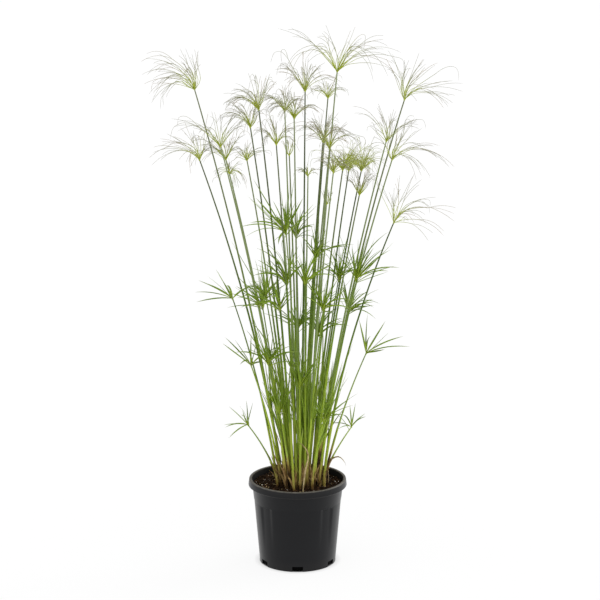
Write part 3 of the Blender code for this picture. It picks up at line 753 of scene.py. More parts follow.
class Growth:
    """A mesh that grows out of its own faces and keeps, at each point, how far along a part it is."""

    def __init__(self) -> None:
        """Start with nothing."""
        self.mesh: BMesh = bmesh.new()
        layers = self.mesh.verts.layers.float
        self.layers = {name: layers.new(name) for name in ("along", "across", "tone")}

    def mark(self, verts: Sequence[BMVert], **values: float) -> None:
        """Write values such as along or tone at some points.

        Args:
            verts: the points.
            values: the values, by the name of their layer.
        """
        for name, value in values.items():
            for vert in verts:
                vert[self.layers[name]] = value

    def start(self, spots: Sequence[Vector]) -> BMFace:
        """Lay the first face of a part, with its corners on the spots.

        Args:
            spots: where its corners go, in turn.

        Returns:
            The face.
        """
        made = bmesh.ops.create_circle(self.mesh, cap_ends=True, segments=len(spots), radius=1.0)
        face = made["verts"][0].link_faces[0]
        self.place(face, spots)
        return face

    def step(self, face: BMFace, spots: Sequence[Vector], part: Part) -> BMFace:
        """Extrude a face and put its far corners on the spots.

        Args:
            face: the face that grows.
            spots: the corners' new places, in the face's own order.
            part: the part that the new walls belong to.

        Returns:
            The face at the far end.
        """
        grown = bmesh.ops.extrude_discrete_faces(self.mesh, faces=[face])["faces"][0]
        self.place(grown, spots)
        self.name_walls(grown, part)
        return grown

    def extend(self, face: BMFace, centre: Vector, heading: Vector, radius: float,
               part: Part) -> BMFace:
        """Extrude a face and set its far end square to a heading, round a new centre.

        Args:
            face: the face that grows.
            centre: the new centre.
            heading: the new direction.
            radius: how far the new corners are from the centre.
            part: the part that the new walls belong to.

        Returns:
            The face at the far end.
        """
        old = face.calc_center_median()
        turn = face.normal.rotation_difference(heading)
        spots = []
        for loop in face.loops:
            offset = turn @ (loop.vert.co - old)
            offset -= heading * offset.dot(heading)
            spots.append(centre + offset.normalized() * radius)
        return self.step(face, spots, part)

    def point(self, face: BMFace, tip: Vector, part: Part, **values: float) -> None:
        """Close a face in a point.

        Args:
            face: the face.
            tip: where the point is.
            part: the part that the new faces belong to.
            values: what is written at the tip, by the name of its layer.
        """
        made = bmesh.ops.poke(self.mesh, faces=[face])
        made["verts"][0].co = tip
        for side in made["faces"]:
            side.material_index = part.value
        self.mark(made["verts"], **values)

    def turn(self, profile: Sequence[Pair], steps: int) -> None:
        """Turn a section about the upright axis into a closed shell.

        Args:
            profile: the section's radii and heights, from the axis back to the axis.
            steps: how many facets the shell has round the axis.
        """
        line = [self.mesh.verts.new((radius, 0.0, z)) for radius, z in profile]
        edges = [self.mesh.edges.new(pair) for pair in zip(line, line[1:])]
        bmesh.ops.spin(
            self.mesh, geom=line + edges, cent=(0, 0, 0), axis=(0, 0, 1), dvec=(0, 0, 0),
            angle=tau, steps=steps, use_merge=True)
        bmesh.ops.remove_doubles(self.mesh, verts=self.mesh.verts, dist=MERGE)
        bmesh.ops.recalc_face_normals(self.mesh, faces=self.mesh.faces)

    @staticmethod
    def place(face: BMFace, spots: Sequence[Vector]) -> None:
        """Put a face's corners on the spots.

        Args:
            face: the face.
            spots: where its corners go, in its own order.
        """
        for loop, spot in zip(face.loops, spots):
            loop.vert.co = spot
        face.normal_update()

    @staticmethod
    def name_walls(face: BMFace, part: Part) -> None:
        """Give a face and the walls round it their part's material.

        Args:
            face: the face.
            part: the part.
        """
        for edge in face.edges:
            for wall in edge.link_faces:
                wall.material_index = part.value

    def take(self, other: "Growth") -> None:
        """Add another growth's mesh to this one.

        Args:
            other: the other one, which is used up.
        """
        carried = bpy.data.meshes.new("carried")
        other.mesh.to_mesh(carried)
        other.mesh.free()
        self.mesh.from_mesh(carried)
        bpy.data.meshes.remove(carried)

    def finish(self, name: str, finishes: Sequence[Material], closed: bool = True) -> Object:
        """Make the object.

        Args:
            name: the piece's name.
            finishes: its materials, in the order of the faces' numbers.
            closed: whether its open ends are closed.

        Returns:
            The object.
        """
        ends = [edge for edge in self.mesh.edges if edge.is_boundary]
        if ends and closed:
            bmesh.ops.holes_fill(self.mesh, edges=ends, sides=0)
            bmesh.ops.recalc_face_normals(self.mesh, faces=self.mesh.faces)
        for face in self.mesh.faces:
            face.smooth = True
        data = bpy.data.meshes.new(name)
        self.mesh.to_mesh(data)
        self.mesh.free()
        for finish in finishes:
            data.materials.append(finish)
        piece = bpy.data.objects.new(name, data)
        bpy.context.scene.collection.objects.link(piece)
        return piece


def hand_over(piece: Object, node: str) -> None:
    """Let a piece stand for a node of the frame.

    Args:
        piece: the piece.
        node: the node that it replaces.
    """
    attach(piece, "root")
    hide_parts(node)
    LOG.info("%s: %d faces in place of %s", piece.name, len(piece.data.polygons), node)


@dataclass
class NurseryPot:
    """The pot: a turned shell with a lip, a collar, four shallow flutes and drainage notches."""

    height: float = 0.166
    lip_top_radius: float = 0.0933
    lip_radius: float = 0.0950
    lip_height: float = 0.013
    mouth_radius: float = 0.0882
    collar_top_radius: float = 0.0870
    collar_foot_radius: float = 0.0846
    collar_foot: float = 0.127
    body_top_radius: float = 0.0838
    body_top: float = 0.1245
    base_radius: float = 0.0733
    wall: float = 0.0018
    floor: float = 0.002
    inner_draft: float = 0.0005
    inner_shoulder: Pair = (0.123, 0.129)
    lip_fillet: float = 0.0006
    steps: int = 180
    flutes: int = 4
    flute_depth: float = 0.0016
    flute_top: float = 0.1222
    flute_foot: float = 0.034
    flute_margin: float = 0.0009
    flute_fade: float = 1.3
    flute_rings: int = 26
    flute_half_angle: float = radians(8.0)
    flank_angle: float = radians(1.9)
    flute_angle: float = radians(-47.0)
    notches: int = 6
    notch_width: float = 0.019
    notch_height: float = 0.0105
    notch_inner_radius: float = 0.064
    rounding: float = 0.0014
    rounded_angle: float = radians(24.0)
    crease_angle: float = radians(32.0)
    facing_inwards: float = -0.3

    def body_radius(self, z: float) -> float:
        """The outer radius between the flutes at a height."""
        return self.base_radius + (self.body_top_radius - self.base_radius) * z / self.body_top

    def profile(self) -> list[Pair]:
        """The section from the middle of the floor, over the lip, to the middle of the underside.

        Returns:
            The radius and height of each of its corners.
        """
        lip_foot = self.height - self.lip_height
        inner_foot = self.base_radius - self.wall
        shoulder_foot, shoulder_top = self.inner_shoulder
        inner = [
            (0.0, self.floor), (self.notch_inner_radius, self.floor), (inner_foot, self.floor),
            (inner_foot + self.inner_draft, self.notch_height),
            (self.body_top_radius - 2 * self.wall, shoulder_foot),
            (self.collar_foot_radius - self.wall, shoulder_top), (self.mouth_radius, self.height)]
        lip = [
            (self.lip_top_radius, self.height), (self.lip_radius, lip_foot),
            (self.collar_top_radius + self.lip_fillet, lip_foot),
            (self.collar_foot_radius, self.collar_foot)]
        fall = self.flute_foot - self.flute_top
        heights = [self.body_top, self.flute_top + self.flute_margin]
        for index in range(self.flute_rings + 1):
            heights.append(self.flute_top + fall * index / self.flute_rings)
        body = [(self.body_radius(z), z) for z in (*heights, self.notch_height)]
        base = [(self.base_radius, 0.0), (self.notch_inner_radius, 0.0), (0.0, 0.0)]
        return inner + lip + body + base

    def round_edges(self, mesh: BMesh) -> None:
        """Round the rings of the lip and the collar.

        Args:
            mesh: the pot's mesh.
        """
        sharp = [edge for edge in mesh.edges
                 if edge.calc_face_angle(0.0) > self.rounded_angle
                 and min(vert.co.z for vert in edge.verts) > self.collar_foot - MM]
        bmesh.ops.bevel(
            mesh, geom=sharp, offset=self.rounding, offset_type="OFFSET", affect="EDGES", segments=3,
            profile=0.5, material=-1, clamp_overlap=True)

    def press_flutes(self, mesh: BMesh) -> None:
        """Press the flutes into the outer wall, which fade out towards the foot of the pot.

        Args:
            mesh: the pot's mesh.
        """
        pitch = tau / self.flutes
        for vert in mesh.verts:
            radius = hypot(vert.co.x, vert.co.y)
            z = vert.co.z
            on_wall = self.flute_foot < z < self.flute_top + MERGE
            if not on_wall or radius < self.body_radius(z) - 0.5 * MM:
                continue
            turn = (atan2(vert.co.y, vert.co.x) - self.flute_angle) % pitch
            off = min(turn, pitch - turn) - self.flute_half_angle
            flank = min(max(1.0 - off / self.flank_angle, 0.0), 1.0)
            fade = self.flute_fade * (z - self.flute_foot) / (self.flute_top - self.flute_foot)
            fade = min(fade, 1.0)
            pressed = (radius - self.flute_depth * flank * fade) / radius
            vert.co.x *= pressed
            vert.co.y *= pressed

    def in_notch(self, point: Vector) -> bool:
        """Whether a point of the bottom edge lies in one of the drainage notches.

        Args:
            point: the point.

        Returns:
            Whether it does.
        """
        pitch = tau / self.notches
        turn = (atan2(point.y, point.x) + pi / 2) % pitch
        beside = min(turn, pitch - turn) * self.base_radius > self.notch_width / 2
        outside = hypot(point.x, point.y) > self.notch_inner_radius
        return outside and not beside and point.z < self.notch_height

    def cut_notches(self, mesh: BMesh) -> None:
        """Open the drainage notches, and close the wall round each of them.

        Args:
            mesh: the pot's mesh.
        """
        gone = [face for face in mesh.faces if self.in_notch(face.calc_center_median())]
        bmesh.ops.delete(mesh, geom=gone, context="FACES")
        pitch = tau / self.notches
        rims: list[list[BMEdge]] = [[] for _ in range(self.notches)]
        for edge in mesh.edges:
            if edge.is_boundary:
                middle = Skeleton.middle(edge.verts)
                turn = (atan2(middle.y, middle.x) + pi / 2 + pitch / 2) % tau
                rims[int(turn / pitch)].append(edge)
        for rim in rims:
            bmesh.ops.bridge_loops(mesh, edges=rim)

    def soil_and_shade_inside(self, mesh: BMesh) -> None:
        """Give the faces of the inner wall, which look towards the pot's axis, their own finish: dulled
        by the mix, and darkened with painted shade.

        Args:
            mesh: the pot's mesh.
        """
        mesh.normal_update()
        for face in mesh.faces:
            middle = face.calc_center_median()
            outward = Vector((middle.x, middle.y, 0.0)).normalized()
            if middle.z > self.notch_height and face.normal.dot(outward) < self.facing_inwards:
                face.material_index = 1

    def build(self) -> None:
        """Build the pot and dress it."""
        growth = Growth()
        growth.turn(self.profile(), self.steps)
        self.press_flutes(growth.mesh)
        self.round_edges(growth.mesh)
        self.cut_notches(growth.mesh)
        self.soil_and_shade_inside(growth.mesh)
        piece = growth.finish("nursery_pot", materials(PotPlastic(), SoiledShadedPlastic()))
        piece.data.set_sharp_from_angle(angle=self.crease_angle)
        hand_over(piece, "pot")


@dataclass
class SoilBed:
    """The potting mix: a rough bed with loose crumbs, fibres and perlite on it."""

    surface: float = 0.154
    rim_radius: float = 0.0864
    foot_radius: float = 0.0709
    foot: float = 0.0026
    side: tuple[Pair, ...] = ((0.0864, 0.150), (0.0822, 0.129), (0.0796, 0.123))
    steps: int = 120
    rings: int = 30
    broad_relief: Pair = (38.0, 0.55)
    fine_relief: Pair = (190.0, 0.75)
    roughness: float = 0.0016
    crumbs: int = 2400
    crumb_sizes: Pair = (0.0008, 0.0034)
    specks: int = 260
    speck_sizes: Pair = (0.0004, 0.0013)
    size_power: float = 2.2
    stretches: Pair = (0.65, 1.15)
    proud: float = 0.25
    jitter: float = 0.22
    fibres: int = 46
    fibre_halves: Pair = (0.003, 0.009)
    fibre_widths: Pair = (0.0006, 0.0013)
    fibre_margin: float = 0.012
    fibre_lift: float = 0.0009
    fibre_bend: float = 0.0012
    chunk: int = 60
    seed: int = 11
    bright_specks: tuple[Pair, ...] = (
        (-0.0687, -0.0096), (-0.0413, -0.0404), (-0.0241, -0.0464), (0.0674, 0.0660), (0.0782, 0.0090))

    def level(self, x: float, y: float) -> float:
        """The height of the bed at a place.

        Args:
            x: how far right of the axis the place is.
            y: how far behind the axis it is.

        Returns:
            The height.
        """
        broad_scale, broad_share = self.broad_relief
        fine_scale, fine_share = self.fine_relief
        broad = noise.noise(Vector((x, y, 0.3)) * broad_scale)
        fine = noise.noise(Vector((x, y, 1.7)) * fine_scale)
        return self.surface + self.roughness * (broad_share * broad + fine_share * fine)

    def anywhere(self, margin: float, rng: random.Random) -> Pair:
        """A place on the bed, at least the margin inside its rim.

        Args:
            margin: the margin.
            rng: the source of the choice.

        Returns:
            The place's x and y.
        """
        reach = (self.rim_radius - margin) * sqrt(rng.random())
        angle = rng.uniform(0.0, tau)
        return reach * cos(angle), reach * sin(angle)

    def bed(self, growth: Growth) -> None:
        """Turn the body of the mix and roughen its top.

        Args:
            growth: the bed's mesh.
        """
        radii = [self.rim_radius * index / self.rings for index in range(self.rings + 1)]
        top = [(radius, self.surface) for radius in radii]
        growth.turn([*top, *self.side, (self.foot_radius, self.foot), (0.0, self.foot)], self.steps)
        for vert in growth.mesh.verts:
            if vert.co.z > self.surface - MM:
                vert.co.z = self.level(vert.co.x, vert.co.y)

    def scatter(self, growth: Growth, count: int, sizes: Pair, number: int,
                places: Sequence[Pair], rng: random.Random) -> None:
        """Drop small lumps on the bed.

        Args:
            growth: the mesh that they are added to.
            count: how many.
            sizes: the smallest and the largest radius.
            number: the material number of their faces.
            places: where the first ones lie; the others lie anywhere.
            rng: the source of their irregularity.
        """
        for start in range(0, count, self.chunk):
            batch = Growth()
            for index in range(start, min(start + self.chunk, count)):
                size = sizes[0] + (sizes[1] - sizes[0]) * rng.random() ** self.size_power
                if index < len(places):
                    x, y = places[index]
                    size = sizes[1]
                else:
                    x, y = self.anywhere(size, rng)
                self.drop(batch, Vector((x, y, self.level(x, y) + size * self.proud)), size, rng)
            for face in batch.mesh.faces:
                face.material_index = number
            growth.take(batch)

    def drop(self, batch: Growth, centre: Vector, size: float, rng: random.Random) -> None:
        """Make one lump.

        Args:
            batch: the mesh that it is added to.
            centre: its centre.
            size: its mean radius.
            rng: the source of its irregularity.
        """
        radii = [size * rng.uniform(*self.stretches) for _ in range(3)]
        angle = rng.uniform(0.0, tau)
        turn = Matrix.Rotation(angle, 4, Vector((rng.random(), rng.random(), 0.5)))
        place = Matrix.Translation(centre) @ turn @ Matrix.Diagonal((*radii, 1.0))
        made = bmesh.ops.create_icosphere(batch.mesh, subdivisions=1, radius=1.0, matrix=place)
        tone = rng.random()
        for vert in made["verts"]:
            vert.co += any_offset(rng) * size * self.jitter
        batch.mark(made["verts"], tone=tone)

    def strew(self, growth: Growth, rng: random.Random) -> None:
        """Lay short fibres on the bed.

        Args:
            growth: the mesh that they are added to.
            rng: the source of their irregularity.
        """
        batch = Growth()
        for _ in range(self.fibres):
            x, y = self.anywhere(self.fibre_margin, rng)
            middle = Vector((x, y, 0.0))
            heading = Vector((rng.uniform(-1, 1), rng.uniform(-1, 1), rng.uniform(-0.1, 0.25)))
            half = heading.normalized() * rng.uniform(*self.fibre_halves)
            middle.z = self.level(middle.x, middle.y) + self.fibre_lift
            bend = Vector((rng.uniform(-1, 1), rng.uniform(-1, 1), 0.6)) * self.fibre_bend
            course = Course([middle - half, middle + bend, middle + half])
            width = rng.uniform(*self.fibre_widths)
            Blade(course, width, tone=0.5, roll=0.0, rings=4).grow(batch)
        growth.take(batch)

    def build(self) -> None:
        """Build the bed with all that lies on it, and dress it."""
        rng = random.Random(self.seed)
        growth = Growth()
        self.bed(growth)
        self.scatter(growth, self.crumbs, self.crumb_sizes, 0, (), rng)
        self.scatter(growth, self.specks, self.speck_sizes, 1, self.bright_specks, rng)
        self.strew(growth, rng)
        finishes = materials(PottingMix(), PerliteWhite(), StrawSkin("straw_fibre"))
        hand_over(growth.finish("soil_bed", finishes), "soil")


@dataclass(frozen=True)
class Habit:
    """How full an umbel is, and how its rays differ from the frame's.

    rays is the number of rays for each of the frame's, turn the widest angle between the two,
    shortest and longest the lengths of the further ones as shares of the frame's, arch how high a
    ray's middle is lifted as a share of its sideways reach, forked the share of the rays that fork,
    and ripe how far its threads have turned from green to grey.
    """

    rays: float
    turn: float
    shortest: float
    longest: float
    arch: float
    forked: float
    ripe: float


class HeadForm(Enum):
    """The forms that an umbel has, each with its habit."""

    OPEN = Habit(2.2, radians(20.0), 0.80, 1.17, 0.10, 0.75, 1.0)
    FULL = Habit(3.6, radians(27.0), 0.90, 1.17, 0.16, 0.80, 1.0)
    DENSE = Habit(5.0, radians(42.0), 0.80, 1.45, 0.14, 0.80, 0.52)
    SMALL = Habit(3.6, radians(30.0), 0.75, 1.17, 0.12, 0.60, 0.80)
    BUD = Habit(3.4, radians(12.0), 0.75, 1.17, 0.00, 0.30, 0.60)


@dataclass(frozen=True)
class Station:
    """One ring of a stem: how far up it is, how much a sheath swells it, its part and its slant."""

    share: float
    swell: float
    part: Part
    slanted: bool = False


@dataclass
class Culm:
    """The stem of a shoot: a bluntly three-cornered rod with papery sheaths round its foot."""

    skeleton: Skeleton
    tone: float
    rng: random.Random
    rings: int = 34
    sides: int = 9
    fullness: float = 0.72
    slimming: float = 0.18
    least: float = 0.00112
    lobe: float = 0.11
    sheath_rings: int = 5
    sheath_swell: float = 0.24
    sheath_step: float = 0.09
    sway: float = 0.0030
    sheath_slant: float = 1.3
    low_sheath: Pair = (0.030, 0.062)
    high_sheath: Pair = (0.085, 0.150)
    sheathed: float = 0.45
    swell_fade: float = 3.0
    mouth: float = 0.0003

    def radius_at(self, share: float) -> float:
        """The stem's mean radius at a share of its height.

        Args:
            share: 0 at the foot and 1 at the hub.

        Returns:
            The radius.
        """
        radii = self.skeleton.radii
        place = share * (len(radii) - 1)
        index = min(int(place), len(radii) - 2)
        mean = radii[index] + (radii[index + 1] - radii[index]) * (place - index)
        return max(mean * (self.fullness - self.slimming * share), self.least)

    def stations(self, length: float) -> list[Station]:
        """The rings of the stem, from its foot to its top.

        Args:
            length: the stem's length in metres.

        Returns:
            The rings.
        """
        stations = []
        swell = self.sheath_swell
        last = 0.0
        for low, high in (self.low_sheath, self.high_sheath):
            end = min(self.rng.uniform(low, high), length * self.sheathed)
            for index in range(self.sheath_rings):
                share = last + (end - last) * (index + 0.5) / self.sheath_rings
                stations.append(Station(share / length, swell, Part.SHEATH))
            stations.append(Station(end / length, swell, Part.SHEATH, True))
            swell -= self.sheath_step
            stations.append(Station((end + self.mouth) / length, swell, Part.SHEATH, True))
            last = end
        for index in range(1, self.rings + 1):
            risen = index / self.rings
            share = last / length + (1.0 - last / length) * risen
            remaining = max(1.0 - self.swell_fade * risen, 0.0)
            stations.append(Station(share, swell * remaining, Part.CULM))
        return [Station(0.0, self.sheath_swell, Part.SHEATH), *stations]

    def section(self, centre: Vector, heading: Vector, side: Vector, radius: float) -> list[Vector]:
        """The corners of a ring, a circle with three blunt lobes.

        Args:
            centre: its centre.
            heading: the stem's direction.
            side: the direction of the first lobe.
            radius: the mean radius.

        Returns:
            The corners.
        """
        across = heading.cross(side)
        spots = []
        for index in range(self.sides):
            angle = tau * index / self.sides
            reach = radius * (1.0 + self.lobe * cos(3.0 * angle))
            spots.append(centre + (side * cos(angle) + across * sin(angle)) * reach)
        return spots

    def swayed(self) -> list[Vector]:
        """The stem's points, bowed a little to a side between its foot and its hub."""
        bow = Vector((self.rng.uniform(-1.0, 1.0), self.rng.uniform(-0.5, 0.5), 0.0)) * self.sway
        return bowed(self.skeleton.culm, bow)

    def grow(self, growth: Growth) -> Course:
        """Grow the stem into a shoot's mesh.

        Args:
            growth: the shoot's mesh.

        Returns:
            The stem's line.
        """
        course = Course(self.swayed())
        side = any_side(self.rng)
        face = None
        for station in self.stations(course.length):
            heading = course.heading(station.share)
            side = (side - heading * side.dot(heading)).normalized()
            centre = course.at(station.share)
            radius = self.radius_at(station.share) * (1.0 + station.swell)
            spots = self.section(centre, heading, side, radius)
            if station.slanted:
                for spot in spots:
                    spot += heading * (spot - centre).dot(side) * self.sheath_slant
            if face is None:
                face = growth.start(spots)
            else:
                face = growth.step(face, spots, station.part)
            growth.mark(face.verts, along=station.share, tone=self.tone)
        return course


@dataclass
class Head:
    """What the heads of all shoots share: a small hub, and guides to turn about it."""

    skeleton: Skeleton
    rng: random.Random

    def hub(self, share: float, tone: float) -> Growth:
        """Start the head with its hub.

        Args:
            share: the hub's radius as a share of the frame's knob.
            tone: its tone.

        Returns:
            The head's mesh.
        """
        batch = Growth()
        place = Matrix.Translation(self.skeleton.hub)
        radius = self.skeleton.hub_radius * share
        bmesh.ops.create_icosphere(batch.mesh, subdivisions=2, radius=radius, matrix=place)
        batch.mark(batch.mesh.verts, tone=tone)
        for face in batch.mesh.faces:
            face.material_index = Part.HEAD.value
        return batch

    def swing(self, widest: float) -> tuple[Vector, float]:
        """Any axis, and an angle about it that is at most the widest one."""
        axis = any_offset(self.rng).normalized()
        return axis, self.rng.uniform(-1.0, 1.0) * widest

    def grow(self, growth: Growth) -> None:
        """Grow the head into a shoot's mesh."""
        raise NotImplementedError


@dataclass
class Umbel(Head):
    """The head of a tall shoot: rays that leave a small hub, and fork into fine threads."""

    habit: Habit
    hub_share: float = 0.40
    hub_tone: float = 0.5
    leaving: float = 0.20
    clearance: float = 1.4
    base_radius: float = 0.00050
    fork_radius: float = 0.00046
    thread_radius: float = 0.00040
    tip_radius: float = 0.00026
    stem_rings: int = 5
    thread_rings: int = 11
    fork: float = 0.46
    fork_shares: Pair = (0.8, 1.3)
    thread_shares: Pair = (0.70, 1.0)
    spread: float = 0.20
    spread_shares: Pair = (0.5, 1.5)
    droop: float = 0.30
    droop_curve: float = 2.4
    sway: float = 0.07
    arch_shares: Pair = (0.6, 1.4)
    hooked: float = 0.14
    hook: tuple[Pair, ...] = ((0.07, 0.00), (0.12, -0.06), (0.12, -0.15))

    def courses(self) -> list[tuple[Course, bool]]:
        """The lines of all rays: each of the frame's, and others turned a little from them.

        Returns:
            Each line, and whether it is one of the frame's own.
        """
        guides = self.skeleton.rays
        lines = [(Course(self.arched(ray.points)), True) for ray in guides]
        while len(lines) < round(len(guides) * self.habit.rays):
            guide = guides[len(lines) % len(guides)]
            lines.append((Course(self.arched(self.turned(guide.points))), False))
        return lines

    def turned(self, points: Sequence[Vector]) -> list[Vector]:
        """A ray's points turned round the hub and made shorter, some of them with a hook at the end.

        Args:
            points: the points, from the hub to the tip.

        Returns:
            The new points.
        """
        hub = self.skeleton.hub
        axis, angle = self.swing(self.habit.turn)
        turn = Matrix.Rotation(angle, 3, axis)
        size = self.rng.uniform(self.habit.shortest, self.habit.longest)
        spots = [hub + turn @ (point - hub) * size for point in points]
        if self.rng.random() < self.hooked:
            length = (spots[-1] - hub).length
            out = Vector((spots[-1].x - hub.x, spots[-1].y - hub.y, 0.0)).normalized()
            spots += [spots[-1] + (out * away + UP * rise) * length for away, rise in self.hook]
        return spots

    def arched(self, points: Sequence[Vector]) -> list[Vector]:
        """A ray's points with its middle lifted and swayed to a side, and its ends kept.

        Args:
            points: the points, from the hub to the tip.

        Returns:
            The new points.
        """
        travel = points[-1] - points[0]
        flat = Vector((travel.x, travel.y, 0.0))
        lift = UP * flat.length * self.habit.arch * self.rng.uniform(*self.arch_shares)
        side = travel.cross(UP).normalized() * travel.length * self.sway * self.rng.uniform(-1.0, 1.0)
        return bowed(points, lift + side)

    def grow(self, growth: Growth) -> None:
        """Grow the hub and its rays into a shoot's mesh.

        Args:
            growth: the shoot's mesh.
        """
        batch = self.hub(self.hub_share, self.rng.random() * self.hub_tone)
        batch.mesh.normal_update()
        free = list(batch.mesh.faces)
        for course, guided in self.courses():
            heading = (course.at(self.leaving) - self.skeleton.hub).normalized()
            face = max(free, key=lambda item: item.normal.dot(heading))
            free.remove(face)
            self.grow_ray(batch, face, course, guided)
        growth.take(batch)

    def grow_ray(self, batch: Growth, face: BMFace, course: Course, guided: bool) -> None:
        """Grow one ray and the threads that it forks into.

        Args:
            batch: the head's mesh.
            face: the hub's face that it leaves.
            course: the ray's line.
            guided: whether one thread keeps to that line up to its tip.
        """
        tone = self.rng.random()
        fork = self.fork * self.rng.uniform(*self.fork_shares)
        start = self.clearance * self.skeleton.hub_radius / course.length
        for index in range(self.stem_rings):
            part = index / (self.stem_rings - 1)
            share = start + (fork - start) * part
            radius = self.base_radius + (self.fork_radius - self.base_radius) * part
            face = batch.extend(face, course.at(share), course.heading(share), radius, Part.HEAD)
            batch.mark(face.verts, along=share * self.habit.ripe, tone=tone)
        if self.rng.random() > self.habit.forked:
            self.grow_thread(batch, face, course, fork, Vector(), tone)
            return
        centre = face.calc_center_median()
        heading = course.heading(fork)
        poked = bmesh.ops.poke(batch.mesh, faces=[face])
        poked["verts"][0].co = centre + heading * self.fork_radius
        batch.mark(poked["verts"], along=fork * self.habit.ripe, tone=tone)
        for side in poked["faces"]:
            side.normal_update()
            side.material_index = Part.HEAD.value
        for number, side in enumerate(poked["faces"][:2]):
            away = side.calc_center_median() - centre
            away = (away - heading * away.dot(heading)).normalized()
            if guided and number == 0:
                away = Vector()
            self.grow_thread(batch, side, course, fork, away, tone)

    def grow_thread(self, batch: Growth, face: BMFace, course: Course, fork: float, away: Vector,
                    tone: float) -> None:
        """Grow one thread from a fork to its tip.

        Args:
            batch: the head's mesh.
            face: the face that it grows from.
            course: the ray's line.
            fork: the share of the line at which it leaves.
            away: the direction in which it parts from the line, or no direction at all.
            tone: the ray's tone.
        """
        length = course.length * (1.0 - fork)
        parted = away.length > 0.0
        end = fork + (1.0 - fork) * (self.rng.uniform(*self.thread_shares) if parted else 1.0)
        apart = away * length * self.spread * self.rng.uniform(*self.spread_shares)
        droop = UP * -length * self.rng.uniform(0.0, self.droop) if parted else Vector()
        spots = [course.at(fork)]
        for index in range(1, self.thread_rings + 2):
            part = index / (self.thread_rings + 1)
            aside = apart * part + droop * part ** self.droop_curve
            spots.append(course.at(fork + (end - fork) * part) + aside)
        for index in range(1, len(spots) - 1):
            part = index / (len(spots) - 1)
            heading = (spots[index + 1] - spots[index - 1]).normalized()
            radius = self.thread_radius + (self.tip_radius - self.thread_radius) * part
            face = batch.extend(face, spots[index], heading, radius, Part.HEAD)
            batch.mark(face.verts, along=(fork + (end - fork) * part) * self.habit.ripe, tone=tone)
        batch.point(face, spots[-1], Part.HEAD, along=self.habit.ripe, tone=tone)


@dataclass
class Blade:
    """A keeled blade along a line, widest near its foot and drawn out to a point."""

    course: Course
    width: float
    tone: float
    roll: float
    part: Part = Part.HEAD
    rings: int = 10
    widest: float = 0.22
    taper: float = 2.3
    fold: float = 0.36
    thickness: float = 0.00055
    thinning: float = 0.5
    foot_width: float = 0.45
    foot_roll: float = 0.4

    def width_at(self, share: float) -> float:
        """The blade's width at a share of its length.

        Args:
            share: 0 at the foot and 1 at the tip.

        Returns:
            The width.
        """
        if share < self.widest:
            rise = sin(share / self.widest * pi / 2)
            return self.width * (self.foot_width + (1.0 - self.foot_width) * rise)
        fall = (share - self.widest) / (1.0 - self.widest)
        return self.width * (1.0 - fall ** self.taper)

    def section(self, share: float) -> list[Vector]:
        """The corners of the blade's section: an edge, the groove, the other edge and the keel.

        Args:
            share: how far along the blade it is.

        Returns:
            The corners.
        """
        centre = self.course.at(share)
        heading = self.course.heading(share)
        side = (self.course.points[-1] - self.course.points[0]).cross(UP)
        side -= heading * side.dot(heading)
        roll = self.roll * (self.foot_roll + share)
        side = Matrix.Rotation(roll, 3, heading) @ side.normalized()
        above = side.cross(heading).normalized()
        half = side * self.width_at(share) / 2
        lift = above * self.width_at(share) * self.fold
        thin = above * self.thickness * (1.0 - self.thinning * share) / 2
        return [centre - half + lift, centre + thin, centre + half + lift, centre - thin]

    def grow(self, growth: Growth) -> None:
        """Grow the blade into a shoot's mesh.

        Args:
            growth: the mesh that it is added to.
        """
        face = growth.start(self.section(0.0))
        self.mark(growth, face, 0.0)
        for index in range(1, self.rings):
            share = index / self.rings
            face = growth.step(face, self.section(share), self.part)
            self.mark(growth, face, share)
        growth.point(face, self.course.at(1.0), self.part, along=1.0, across=0.0, tone=self.tone)

    def mark(self, growth: Growth, face: BMFace, share: float) -> None:
        """Write how far along and across the blade a ring's corners are.

        Args:
            growth: the mesh.
            face: the ring, as a face.
            share: how far along the blade it is.
        """
        growth.mark(face.verts, along=share, tone=self.tone)
        for index, loop in enumerate(face.loops):
            growth.mark([loop.vert], across=1.0 - index % 2)


